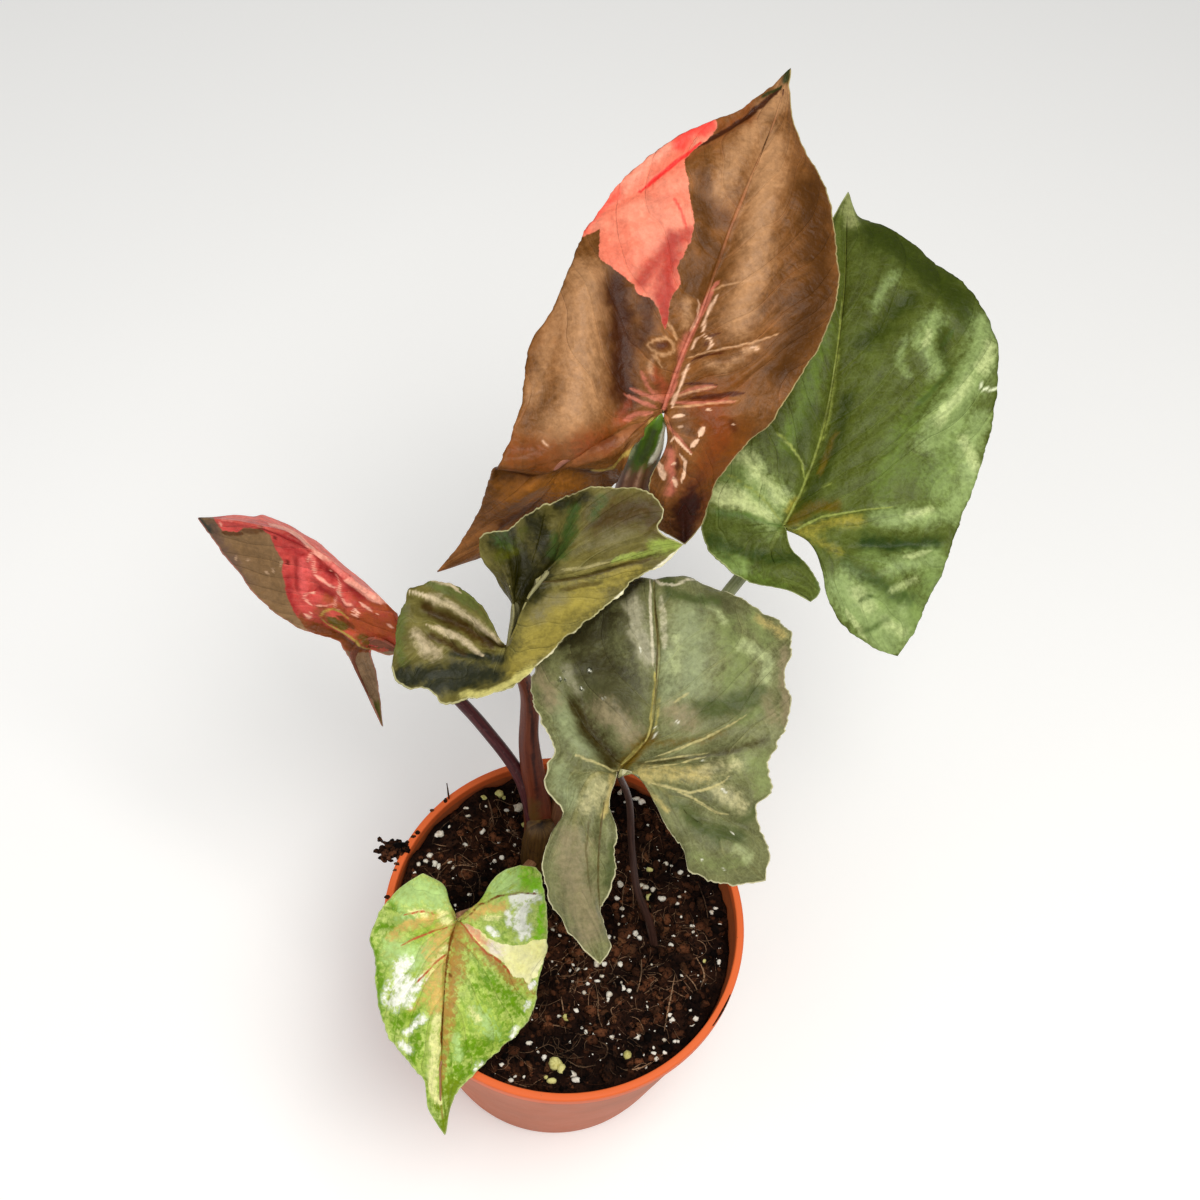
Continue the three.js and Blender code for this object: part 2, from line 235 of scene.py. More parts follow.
def keepMesh(bm, name, material):
    mesh = bpy.data.meshes.new(name)
    for face in bm.faces:
        face.smooth = True
    bm.to_mesh(mesh)
    bm.free()
    piece = bpy.data.objects.new(name, mesh)
    bpy.context.scene.collection.objects.link(piece)
    mesh.materials.append(material)
    return piece


def addToPlant(piece, slot, *nodes):
    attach(piece, "root")
    if nodes:
        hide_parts(*nodes)


def turned(profile, steps):
    # spins a profile of radii and heights round the upright
    bm = bmesh.new()
    verts = [bm.verts.new((radius * mm, 0, height * mm)) for radius, height in profile]
    edges = [bm.edges.new(pair) for pair in zip(verts, verts[1:])]
    bmesh.ops.spin(bm, geom=verts + edges, angle=math.tau, steps=steps,
                   axis=(0, 0, 1), cent=(0, 0, 0), use_merge=True)
    bmesh.ops.remove_doubles(bm, verts=bm.verts, dist=1e-6)
    bmesh.ops.recalc_face_normals(bm, faces=bm.faces)
    return bm


def sweep(bm, route, sizes, sides, shape=None):
    # extrudes a ring along the route, one step per point, in an empty bmesh
    alongLayer = bm.verts.layers.float.new("along")
    roundLayer = bm.verts.layers.float.new("round")
    last = len(route) - 1
    ahead = (route[1] - route[0]).normalized()
    side = ahead.orthogonal().normalized()
    ring = bmesh.ops.create_circle(bm, segments=sides, radius=1)["verts"]
    start = edges = bm.edges[:]
    angles = {vert: math.tau * k / sides for k, vert in enumerate(ring)}
    for i, point in enumerate(route):
        if i:
            made = bmesh.ops.extrude_edge_only(bm, edges=edges)["geom"]
            ring = [item for item in made if isinstance(item, bmesh.types.BMVert)]
            edges = [item for item in made if isinstance(item, bmesh.types.BMEdge)]
            edges = [edge for edge in edges if edge.verts[0] in ring and edge.verts[1] in ring]
            ahead = (route[min(i + 1, last)] - route[i - 1]).normalized()
            # each new vertex keeps the angle of the one it came from
            angles = {vert: angles[mate] for vert in ring for edge in vert.link_edges
                      if (mate := edge.other_vert(vert)) in angles}
        side = (side - ahead * side.dot(ahead)).normalized()
        other = ahead.cross(side)
        for vert, angle in angles.items():
            size = sizes[i] * (shape(angle, i / last) if shape else 1)
            vert.co = point + (side * math.cos(angle) + other * math.sin(angle)) * size
            vert[alongLayer] = i / last
            vert[roundLayer] = angle / math.tau
    bmesh.ops.holes_fill(bm, edges=start)
    bmesh.ops.holes_fill(bm, edges=edges)
    bmesh.ops.recalc_face_normals(bm, faces=bm.faces)


# Pot

pot = {
    "height": 83, "rim": 52.5, "base": 40, "lip": 4, "step": 0.8, "lipThickness": 2.2, "wall": 1.5,
    "floor": 2, "footEdge": 1.5, "lipEdge": 0.7, "mouthEdge": 0.5,
    "drainHoles": 6, "drainRadius": 4, "drainCircle": 26, "segments": 192,
    "clay": (176, 90, 48), "paintedLipLight": (240, 110, 54), "pale": (192, 100, 60),
    "dust": (184, 122, 86), "soilMark": (40, 24, 16),
}


def outerRadius(height):
    share = height / (pot["height"] - pot["lip"])
    return pot["base"] + (pot["rim"] - pot["step"] - pot["base"]) * share


def potMaterial():
    shader = Shader("potPlastic")
    where = shader.place()
    height = shader.node("ShaderNodeSeparateXYZ", {}, {0: where}, 2)
    cloud = shader.noise(where, 28.0, 4.0)
    fine = shader.noise(where, 420.0, 4.0, 0.7)
    scuff = shader.noise(where, 130.0, 6.0, 0.75, 0.6)
    lip = shader.smooth(height, (pot["height"] - pot["lip"]) * mm, (pot["height"] - pot["lip"] + 1) * mm)
    colour = shader.blend(shader.smooth(cloud, 0.35, 0.7), pot["clay"], pot["pale"])
    # painted light: the lip is painted brighter, as where it faces the lamps
    colour = shader.blend(lip * 0.85, colour, pot["paintedLipLight"])
    colour = shader.blend(shader.smooth(scuff, 0.62, 0.78) * 0.35, colour, pot["dust"])
    marks = shader.smooth(shader.noise(where, 260.0, 5.0, 0.7), 0.68, 0.74)
    colour = shader.blend(marks * lip * 0.8, colour, pot["soilMark"])
    relief = fine * 0.6 + scuff * 0.4
    return shader.finish({
        "Base Color": colour,
        "Roughness": 0.42 + 0.2 * scuff,
        "Specular IOR Level": 0.2,
        "Normal": shader.bump(relief, 0.00025, 0.5),
    })


def quarter(steps):
    # the angles of a rounded corner
    return [math.pi / 2 * i / steps for i in range(steps + 1)]


def makePot():
    foot, lip, edge = pot["footEdge"], pot["lipEdge"], pot["mouthEdge"]
    top = pot["height"]
    under = top - pot["lip"]
    mouth = pot["rim"] - pot["lipThickness"]
    inner = outerRadius(under) - pot["wall"]
    profile = [(0, 0), (pot["base"] - foot, 0)]
    for turn in quarter(4)[1:]:
        profile.append((pot["base"] - foot + foot * math.sin(turn), foot * (1 - math.cos(turn))))
    profile += [(outerRadius(h), h) for h in (8, 20, 32, 44, 56, 68, under - 0.6, under)]
    profile += [(pot["rim"] - 0.25, under + 0.55), (pot["rim"], under + pot["step"])]
    for turn in quarter(5):
        profile.append((pot["rim"] - lip * (1 - math.cos(turn)), top - lip * (1 - math.sin(turn))))
    for turn in quarter(4):
        profile.append((mouth + edge * (1 - math.sin(turn)), top - edge * (1 - math.cos(turn))))
    profile += [(mouth, under + 0.5), (inner, under - 1), (inner - 1.5, 68), (inner - 4, 44)]
    profile += [(outerRadius(pot["floor"]) - pot["wall"], pot["floor"]), (0, pot["floor"])]
    piece = keepMesh(turned(profile, pot["segments"]), "pot_body", potMaterial())
    cutters = bmesh.new()
    for i in range(pot["drainHoles"]):
        angle = math.tau * (i + 0.5) / pot["drainHoles"]
        spot = Vector((math.cos(angle), math.sin(angle), 0)) * pot["drainCircle"] * mm
        bmesh.ops.create_cone(cutters, cap_ends=True, segments=32, radius1=pot["drainRadius"] * mm,
                              radius2=pot["drainRadius"] * mm, depth=4 * pot["floor"] * mm,
                              matrix=Matrix.Translation(spot))
    cutter = keepMesh(cutters, "drainCutter", piece.data.materials[0])
    cut = piece.modifiers.new("drain", "BOOLEAN")
    cut.operation = "DIFFERENCE"
    cut.solver = "EXACT"
    cut.object = cutter
    graph = bpy.context.evaluated_depsgraph_get()
    mesh = bpy.data.meshes.new_from_object(piece.evaluated_get(graph))
    piece.modifiers.clear()
    piece.data = mesh
    bpy.data.objects.remove(cutter)
    addToPlant(piece, "pot", "pot")


makePot()
print("pot made")

# Leaves

leaves = {}
leaves["bronze"] = {
    "arch": 0.06, "pucker": 1.2, "lean": 0.3, "wave": 0.8, "waves": 3.5,
    "base": (11, 83, 212), "tip": (35, 169, 253),
    "midrib": [(14, 94, 219), (18, 105, 226), (21, 116, 233), (26, 133, 242), (31, 149, 248)],
    "left": {
        "lobeTip": (-44, 61, 163), "corner": (-28, 62, 208),
        "lobe": [(-31, 66, 172), (-20, 69, 185), (-10, 67, 206), (1, 73, 211)],
        "shoulder": [(-39, 65, 169), (-34, 67, 182), (-31, 65, 196)],
        "side": [(-24, 74, 217), (-23, 88, 225), (-18, 99, 230), (-13, 117, 237), (-6, 129, 242),
            (8, 143, 248), (24, 155, 250)],
        "sinus": [(-34, 66, 164), (-12, 73, 173), (0, 77, 187), (3, 68, 207), (6, 76, 211)],
    },
    "right": {
        "lobeTip": (21, 67, 179), "corner": (39, 85, 210),
        "lobe": [(18, 71, 200), (15, 76, 209)],
        "shoulder": [(25, 70, 186), (27, 75, 197), (32, 79, 205)],
        "side": [(44, 95, 215), (49, 103, 221), (52, 114, 228), (51, 124, 233), (47, 138, 239),
            (40, 149, 245), (36, 157, 248)],
        "sinus": [(12, 69, 185), (10, 72, 198), (13, 76, 207)],
    },
}
leaves["green"] = {
    "arch": 0.05, "pucker": 1, "lean": 0.3, "wave": 1, "waves": 4,
    "base": (47, 77, 178), "tip": (58, 171, 214),
    "midrib": [(51, 86, 183), (55, 100, 190), (57, 118, 199), (58, 135, 206), (58, 153, 211)],
    "left": {
        "lobeTip": (56, 60, 169), "corner": (25, 74, 177),
        "lobe": [(47, 63, 175), (44, 70, 177)],
        "shoulder": [(49, 61, 172), (39, 62, 172), (31, 66, 174)],
        "side": [(27, 85, 182), (34, 102, 191), (38, 121, 199), (43, 139, 206), (51, 155, 211)],
        "sinus": [(58, 62, 171), (54, 67, 175), (49, 72, 177)],
    },
    "right": {
        "lobeTip": (80, 49, 164), "corner": (96, 89, 188),
        "lobe": [(65, 64, 177), (55, 73, 179)],
        "shoulder": [(83, 54, 167), (88, 65, 174), (91, 74, 180)],
        "side": [(100, 105, 195), (101, 118, 200), (100, 131, 204), (93, 142, 207), (83, 151, 210),
            (68, 160, 212), (61, 164, 212)],
        "sinus": [(74, 50, 165), (67, 53, 167), (60, 59, 172), (58, 65, 176), (55, 72, 178)],
    },
}
leaves["grey"] = {
    "frill": 2, "arch": 0.06, "pucker": 0.9, "lean": 0.3, "wave": 1, "waves": 3.5,
    "base": (10, 10, 158), "tip": (15, 64, 159),
    "midrib": [(16, 18, 161), (17, 29, 165), (17, 38, 169), (15, 49, 172), (14, 59, 172)],
    "left": {
        "lobeTip": (10, -33, 136), "corner": (-7, 12, 161),
        "lobe": [(2, -18, 152), (0, -3, 159), (3, 6, 160)],
        "shoulder": [(5, -30, 139), (-2, -24, 144), (-6, -18, 150), (-6, -10, 155), (-3, -4, 158),
            (-8, 2, 160)],
        "side": [(-12, 21, 162), (-15, 31, 163), (-11, 38, 165), (-3, 47, 168), (3, 53, 170), (9, 61, 170)],
        "sinus": [(12, -29, 138), (9, -24, 143), (11, -15, 151), (10, -6, 156), (8, 1, 157)],
    },
    "right": {
        "lobeTip": (49, -11, 147), "corner": (47, 16, 159),
        "lobe": [(40, -6, 153), (28, 0, 157), (18, 7, 159)],
        "shoulder": [(49, -5, 150), (45, 4, 155), (48, 9, 157)],
        "side": [(52, 29, 163), (50, 38, 165), (51, 51, 168), (41, 56, 169), (32, 59, 170), (24, 63, 170)],
        "sinus": [(41, -13, 147), (35, -13, 148), (30, -12, 150), (28, -8, 152), (24, -4, 154),
            (19, 3, 157), (15, 8, 159)],
    },
}
leaves["olive"] = {
    "frill": 1.6, "arch": 0.04, "pucker": 0.6, "lean": 0.3, "wave": 0.8, "waves": 3,
    "base": (-22, 35, 169), "tip": (20, 60, 188),
    "midrib": [(-20, 36, 177), (-18, 40, 184), (-15, 45, 186), (-7, 48, 187), (3, 52, 188), (12, 56, 189)],
    "left": {
        "lobeTip": (-50, 26, 169), "corner": (-28, 22, 165),
        "lobe": [(-42, 34, 169), (-32, 35, 168)],
        "shoulder": [(-48, 23, 166), (-41, 24, 163), (-36, 22, 161)],
        "side": [(-19, 25, 168), (-12, 32, 172), (-3, 40, 177), (4, 45, 181), (9, 51, 184), (15, 54, 186)],
        "sinus": [(-50, 41, 172), (-48, 47, 174), (-41, 50, 175), (-33, 46, 175), (-25, 38, 173)],
    },
    "right": {
        "lobeTip": (-32, 58, 184), "corner": (-16, 65, 192),
        "lobe": [(-24, 48, 183), (-21, 41, 178)],
        "shoulder": [(-30, 59, 186), (-25, 60, 187), (-20, 64, 189)],
        "side": [(-5, 69, 195), (4, 70, 196), (13, 68, 195), (14, 65, 194), (13, 61, 192)],
        "sinus": [(-31, 53, 183), (-27, 50, 180), (-24, 47, 177), (-20, 44, 175)],
    },
}
leaves["pink"] = {
    "arch": -0.05, "pucker": 0.5, "lean": 0.3, "wave": 0.3, "waves": 3,
    "base": (-51, 43, 150), "tip": (-110, 68, 166),
    "midrib": [(-55, 50, 158), (-65, 54, 163), (-76, 60, 167), (-87, 64, 169), (-98, 66, 169)],
    "left": {
        "lobeTip": (-58, 39, 114), "corner": (-75, 46, 148),
        "lobe": [(-62, 41, 130), (-65, 43, 148), (-59, 45, 152)],
        "shoulder": [(-61, 40, 128), (-65, 43, 140), (-69, 45, 146)],
        "side": [(-83, 48, 150), (-91, 52, 154), (-99, 58, 158), (-104, 63, 161)],
        "sinus": [(-59, 43, 136), (-60, 44, 147), (-55, 43, 147)],
    },
    "right": {
        "lobeTip": (-55, 56, 148), "corner": (-71, 64, 152),
        "lobe": [(-53, 50, 150)],
        "shoulder": [(-62, 60, 150)],
        "side": [(-79, 70, 156), (-90, 73, 160), (-100, 72, 163)],
        "sinus": [(-53, 51, 146)],
    },
}
leaves["cream"] = {
    "arch": 0.06, "pucker": 0.5, "lean": 0.3, "wave": 0.4, "waves": 3,
    "base": (-29, -13, 105), "tip": (-26, -62, 74),
    "midrib": [(-31, -22, 101), (-30, -35, 96), (-29, -46, 88), (-28, -55, 81)],
    "left": {
        "lobeTip": (-14, 2, 111), "corner": (-4, -16, 100),
        "lobe": [(-22, -7, 108)],
        "shoulder": [(-9, 2, 110), (-7, -2, 108), (-5, -9, 104)],
        "side": [(-5, -23, 96), (-6, -32, 91), (-12, -40, 88), (-21, -49, 84), (-25, -54, 79)],
        "sinus": [(-18, 0, 111), (-21, -3, 109), (-23, -8, 107), (-25, -11, 105)],
    },
    "right": {
        "lobeTip": (-40, -3, 110), "corner": (-50, -24, 99),
        "lobe": [(-33, -9, 109)],
        "shoulder": [(-45, -6, 107), (-51, -14, 103), (-52, -20, 100)],
        "side": [(-48, -34, 94), (-43, -43, 89), (-37, -48, 86), (-33, -51, 83), (-31, -57, 78)],
        "sinus": [(-34, -5, 108), (-32, -9, 107)],
    },
}

# What lies on each blade. A net, vein, rib, margin or speckle is a strength and a shade. The layers come
# in order, each a shade and its strokes. Besides the blade's own colours, some layers are painted
# highlights, sheens and glints, and some are painted shade in valleys and creases, where a part turns from
# the light, or where one leaf shades another. A stroke is half its width, its strength and its points,
# across and down, where they show in the picture. A patch is two shades and a crisp outline, and what is
# inside lies only within it.
# A fold is half a width, a height in mm and points. The side veins are given by where they leave the rib.

leafMarks = {}

leafMarks["bronze"] = {
    "rows": 150, "columns": 54, "rough": 0.3, "deep": 1.2, "ragged": 0.5, "marginSide": 1,
    "low": (112, 72, 22), "high": (156, 108, 62), "net": (0.3, 186, 142, 100), "vein": (0.4, 176, 122, 80),
    "rib": (0.6, 200, 134, 96), "margin": (0.8, 206, 190, 132), "under": ((128, 78, 62), (160, 108, 88)),
    "veins": (-0.5, -0.36, -0.24, -0.12, 0.02, 0.09, 0.17, 0.27, 0.38, 0.5, 0.63, 0.78, 1),
}
leafMarks["bronze"]["layers"] = [
    # painted sheen: pale tan where the left ridge, the right half and the tip catch the light
    ((190, 148, 108), (26, 0.9, 588, 285, 578, 340, 580, 395, 560, 430),
        (20, 0.9, 770, 145, 760, 200, 755, 250, 745, 290, 735, 322),
        (15, 0.8, 718, 195, 735, 160, 760, 120, 784, 92), (12, 0.6, 530, 400, 545, 360, 565, 300)),
    ((142, 74, 22), (24, 0.75, 705, 405, 722, 440, 712, 470, 695, 500),
        (20, 0.55, 515, 452, 560, 450, 605, 436), (12, 0.5, 720, 130, 750, 112)),
    # painted shade on the far right edge and in the hollow beside the rib, where the blade turns from the
    # light
    ((96, 60, 8), (22, 0.85, 806, 190, 818, 240, 818, 290, 802, 330, 780, 372),
        (20, 0.6, 700, 238, 716, 262, 692, 290), (14, 0.7, 700, 205, 712, 222)),
    # painted shade in the valley of the left half, along the crease near the tip and under the left lobe's
    # fold
    ((80, 42, 14), (18, 0.9, 614, 285, 621, 330, 621, 372, 625, 398),
        (12, 0.7, 642, 296, 648, 322, 640, 340), (3, 0.9, 688, 152, 720, 134, 760, 107, 782, 86),
        (9, 0.4, 704, 180, 714, 204, 730, 226), (4, 0.9, 498, 470, 540, 471, 590, 468),
        (5, 0.7, 500, 520, 520, 508, 536, 496), (7, 0.5, 500, 522, 540, 506, 575, 498)),
    # painted shade at the foot of the right lobe, which hangs away from the light
    ((64, 22, 4), (17, 0.98, 683, 548, 684, 518, 697, 492)),
    ((168, 112, 44), (16, 0.7, 505, 490, 540, 486, 570, 480)),
    ((196, 176, 96), (2.2, 0.6, 592, 466, 615, 463, 632, 452, 644, 432, 652, 418)),
    ((134, 82, 24), (10, 0.7, 700, 386, 742, 384), (12, 0.7, 745, 430, 722, 462, 706, 488)),
    ((92, 42, 8), (1.6, 0.8, 684, 384, 700, 385, 716, 386), (2.6, 0.8, 690, 399, 718, 397, 742, 394),
        (1.4, 0.8, 692, 361, 706, 356, 726, 354), (1.2, 0.7, 706, 338, 720, 334),
        (4, 0.8, 656, 347, 664, 347), (2, 0.7, 703, 346, 706, 344), (5, 0.6, 730, 422, 734, 430),
        (3, 0.8, 662, 404, 666, 412), (2.6, 0.5, 618, 440, 590, 452, 560, 458),
        (1.3, 0.8, 671, 445, 672, 470, 674, 494), (3, 0.7, 677, 458, 678, 470)),
    ((170, 86, 58), (9, 0.6, 654, 374, 660, 386, 664, 394), (6, 0.5, 632, 414, 616, 422, 626, 404),
        (10, 0.4, 600, 440, 575, 446), (5, 0.5, 700, 405, 724, 402)),
    ((204, 128, 106), (3.4, 0.95, 664, 408, 670, 394, 677, 372, 684, 348, 696, 322, 708, 300, 716, 284),
        (4, 0.75, 678, 360, 682, 342, 686, 334), (2, 0.8, 660, 402, 645, 395, 630, 389),
        (2, 0.8, 656, 408, 640, 402, 624, 395), (2, 0.7, 655, 398, 646, 386, 640, 372),
        (3, 0.7, 652, 412, 636, 414, 622, 420), (2.4, 0.7, 672, 402, 700, 404, 734, 403),
        (3, 0.6, 676, 396, 692, 390, 714, 388), (2, 0.6, 668, 425, 676, 436, 690, 452),
        (6, 0.8, 670, 450, 672, 476, 670, 490), (5, 0.7, 654, 396, 664, 402)),
    # painted highlights: rings and dabs of gloss on the puckers near the base, and light along side veins
    ((220, 176, 134),
        (2, 0.6, 645, 347, 652, 342, 664, 340, 671, 345, 672, 352, 662, 356, 653, 353, 645, 347),
        (1.4, 0.6, 649, 353, 656, 361, 661, 368), (4, 0.5, 648, 364, 650, 373),
        (9, 0.45, 688, 302, 685, 324), (1.6, 0.6, 665, 322, 672, 332, 676, 342),
        (6, 0.45, 706, 366, 722, 370, 738, 360), (4, 0.6, 742, 352, 756, 349),
        (1.3, 0.75, 689, 358, 704, 353, 722, 350, 740, 346, 758, 342, 776, 335),
        (1.2, 0.6, 712, 292, 726, 286, 752, 284), (1.4, 0.6, 672, 408, 700, 406, 735, 403),
        (1.3, 0.6, 672, 398, 690, 393, 712, 388)),
    # painted highlights, the brightest glints on the puckers near the base
    ((246, 208, 178), (1.3, 0.8, 692, 350, 694, 343, 699, 338),
        (1.3, 0.85, 702, 338, 708, 340, 711, 345, 707, 350), (1.7, 0.9, 690, 364, 684, 375, 680, 388),
        (1.4, 0.8, 679, 388, 674, 400, 672, 408), (1.5, 0.8, 716, 297, 709, 311, 704, 324, 702, 336),
        (1.8, 0.6, 698, 300, 697, 318, 690, 332), (1.4, 0.7, 748, 348, 756, 350),
        (2.4, 0.95, 701, 430, 697, 437), (2.2, 0.9, 696, 440, 689, 446), (1.8, 0.85, 673, 418, 684, 417),
        (1.5, 0.6, 677, 428, 683, 428), (1.6, 0.6, 705, 411, 710, 412), (3.4, 0.8, 661, 462, 664, 476),
        (1.2, 0.8, 670, 442, 674, 437, 682, 445, 690, 454),
        (1.4, 0.8, 680, 454, 685, 461, 684, 472, 681, 482), (1.6, 0.7, 677, 463, 672, 464),
        (2.4, 0.7, 673, 476, 676, 486), (1.2, 0.6, 540, 440, 547, 446), (1, 0.8, 731, 424, 733, 425)),
    ("patch", ((238, 138, 112), (246, 160, 134)), 576, 236, 584, 237, 600, 231, 597, 262, 610, 270,
        622, 278, 632, 286, 636, 296, 648, 301, 658, 312, 663, 332, 667, 318, 668, 303, 679, 285, 675, 269,
        683, 257, 690, 243, 694, 221, 690, 203, 688, 184, 684, 163, 692, 151, 706, 141, 718, 128, 712, 112,
        640, 130, 576, 210),
    ("inside", (188, 74, 60), (13, 0.95, 672, 246, 664, 275, 664, 305, 664, 325),
        (10, 0.8, 640, 284, 656, 262, 690, 236)),
    ("inside", (238, 62, 58), (2.6, 0.9, 640, 192, 655, 180, 680, 160, 702, 142),
        (1.6, 0.6, 672, 200, 680, 215, 686, 232)),
    ("inside", (255, 92, 82), (8, 0.9, 676, 146, 692, 134, 708, 126),
        (5, 0.6, 586, 228, 600, 208, 618, 192)),
    ("inside", (252, 176, 152), (8, 0.6, 625, 190, 645, 166, 664, 150)),
    ((56, 66, 20), (4, 0.9, 790, 62, 786, 80), (1.6, 0.8, 760, 99, 784, 84)),
]
leafMarks["bronze"]["folds"] = [(22, -2, 616, 285, 622, 340, 626, 400),
    (28, 2.2, 582, 290, 574, 360, 570, 415), (7, -1.3, 604, 208, 640, 192, 690, 152, 745, 117, 783, 85),
    (7, 1, 596, 200, 632, 176, 680, 140, 735, 110, 768, 95), (24, 1.6, 762, 200, 752, 260, 735, 312),
    (5, -0.8, 662, 412, 680, 362, 704, 303, 730, 250, 750, 190, 768, 135),
    (14, -1.2, 705, 200, 716, 225, 730, 232), (7, 0.9, 703, 342, 704, 344), (9, 1.1, 654, 348, 662, 348),
    (10, 1, 688, 308, 690, 316), (11, 1, 706, 366, 734, 362), (7, 0.8, 649, 366, 650, 382),
    (6, 0.7, 701, 429, 690, 444), (3, -0.4, 688, 358, 736, 346, 775, 336), (3, -0.35, 714, 288, 752, 285),
    (3, -0.35, 705, 318, 742, 311), (3, -0.4, 668, 404, 735, 402), (4, -0.5, 668, 425, 676, 452, 670, 496),
    (7, 1.4, 498, 461, 560, 458, 608, 450, 636, 432), (6, -1.6, 500, 475, 560, 475, 604, 473)]

leafMarks["green"] = {
    "rows": 120, "columns": 50, "rough": 0.34, "deep": 1.2, "ragged": 0.9, "marginSide": -1,
    "low": (84, 92, 16), "high": (106, 118, 54), "net": (0.5, 134, 146, 88), "vein": (0.2, 134, 146, 74),
    "rib": (0.4, 144, 150, 76), "margin": (0.6, 196, 204, 140), "under": ((112, 134, 96), (146, 164, 124)),
    "veins": (-0.5, -0.34, -0.2, -0.08, 0.03, 0.13, 0.25, 0.38, 0.52, 0.66, 0.82, 1),
}
leafMarks["green"]["layers"] = [
    ((116, 136, 60), (13, 0.8, 824, 300, 818, 350, 806, 400, 786, 448), (20, 0.6, 905, 470, 930, 480),
        (14, 0.6, 722, 566, 750, 578, 775, 590), (16, 0.6, 930, 395, 900, 440, 880, 490)),
    # painted sheen: pale green where the lower lobes and the margin catch the light
    ((142, 162, 96), (26, 0.9, 716, 452, 748, 480, 770, 508), (30, 0.95, 876, 606, 908, 616),
        (20, 0.8, 930, 560, 936, 590), (22, 0.7, 960, 390, 950, 440, 940, 490),
        (12, 0.7, 722, 556, 742, 566), (14, 0.6, 868, 556, 900, 566)),
    ((66, 78, 4), (20, 0.9, 872, 236, 905, 255, 940, 285, 968, 318), (11, 0.85, 892, 314, 908, 304),
        (13, 0.7, 885, 330, 862, 345), (9, 0.7, 940, 325, 942, 372),
        (9, 0.8, 846, 400, 836, 440, 818, 480, 800, 512), (12, 0.5, 812, 410, 805, 440, 790, 460)),
    # painted shade in the valleys where the lower lobes turn down
    ((54, 76, 26), (10, 0.6, 712, 540, 735, 550, 770, 560, 796, 556),
        (9, 0.8, 866, 545, 900, 546, 935, 545), (10, 0.6, 846, 566, 872, 580, 905, 602),
        (4, 0.9, 812, 566, 822, 588)),
    # painted sheen along the right margin and over the lower lobes
    ((158, 176, 116), (20, 0.8, 986, 330, 974, 372, 960, 402, 930, 440),
        (14, 0.8, 980, 420, 965, 455, 972, 484, 958, 505), (12, 0.7, 934, 322, 920, 345, 934, 370),
        (9, 0.6, 893, 280, 872, 306), (6, 0.6, 905, 345, 896, 362, 905, 380),
        (12, 0.75, 950, 515, 905, 522, 880, 520), (13, 0.7, 930, 560, 890, 568),
        (22, 0.95, 842, 588, 870, 618, 885, 640), (10, 0.7, 900, 610, 905, 640)),
    # painted highlights, the brightest parts of the sheen
    ((206, 216, 158), (13, 0.8, 706, 494, 738, 500, 768, 517), (13, 0.6, 742, 456, 760, 478, 780, 502),
        (8, 0.7, 990, 350, 980, 372), (7, 0.55, 966, 386, 950, 408, 936, 425), (6, 0.6, 962, 440, 976, 470),
        (9, 0.55, 856, 592, 870, 606), (7, 0.5, 884, 622, 900, 632), (5, 0.5, 890, 590, 912, 580),
        (3, 0.5, 846, 610, 866, 640), (3, 0.5, 900, 560, 930, 552), (5, 0.6, 905, 520, 930, 512),
        (4, 0.6, 926, 335, 922, 350)),
    ((84, 104, 44), (3, 0.6, 950, 372, 930, 396, 912, 410), (3, 0.6, 940, 350, 952, 332),
        (4, 0.6, 862, 632, 886, 620), (3, 0.6, 858, 600, 872, 596), (3, 0.5, 905, 590, 896, 604)),
    ((96, 124, 56), (5, 0.6, 716, 514, 750, 520, 778, 528)),
    ((170, 162, 74), (8, 0.65, 800, 533, 830, 528, 858, 524), (6, 0.5, 815, 540, 840, 552),
        (5, 0.7, 788, 512, 796, 500)),
    ((110, 96, 10), (7, 0.85, 790, 524, 812, 508, 835, 508), (3.5, 0.7, 818, 478, 836, 432)),
    ((164, 174, 94), (1.5, 0.8, 772, 430, 790, 445, 802, 462, 804, 478),
        (1.3, 0.7, 722, 470, 742, 484, 752, 490), (1.3, 0.6, 750, 488, 768, 505, 782, 524),
        (1.5, 0.75, 796, 530, 822, 519, 860, 514, 892, 511), (1.3, 0.6, 822, 488, 832, 484),
        (2, 0.6, 782, 528, 800, 496, 814, 462, 828, 420, 834, 380, 839, 340, 842, 300)),
    # painted glint, a small highlight near the right margin
    ((236, 242, 206), (1.7, 0.95, 981, 383, 978, 389, 985, 391, 995, 389, 998, 386)),
    ((170, 176, 120), (8, 0.8, 848, 196, 850, 222)),
]
leafMarks["green"]["folds"] = [(12, 1.6, 702, 512, 740, 520, 778, 530),
    (12, -1.2, 706, 548, 745, 556, 790, 552), (10, -1.8, 850, 545, 890, 546, 940, 545),
    (13, 1.6, 840, 530, 880, 522, 935, 518), (14, 1.2, 880, 575, 930, 568),
    (14, 1.3, 985, 345, 960, 390, 925, 432), (12, -1, 950, 335, 936, 380, 905, 420),
    (10, -1, 900, 310, 880, 335), (10, 0.8, 915, 340, 934, 366), (10, -1, 985, 408, 940, 440),
    (4, -0.6, 782, 528, 812, 465, 832, 385, 842, 300, 846, 220), (3, -0.4, 772, 430, 802, 462, 804, 478),
    (3, -0.4, 796, 530, 860, 514, 892, 511), (10, 0.9, 735, 460, 775, 500), (6, -0.7, 725, 478, 780, 522)]

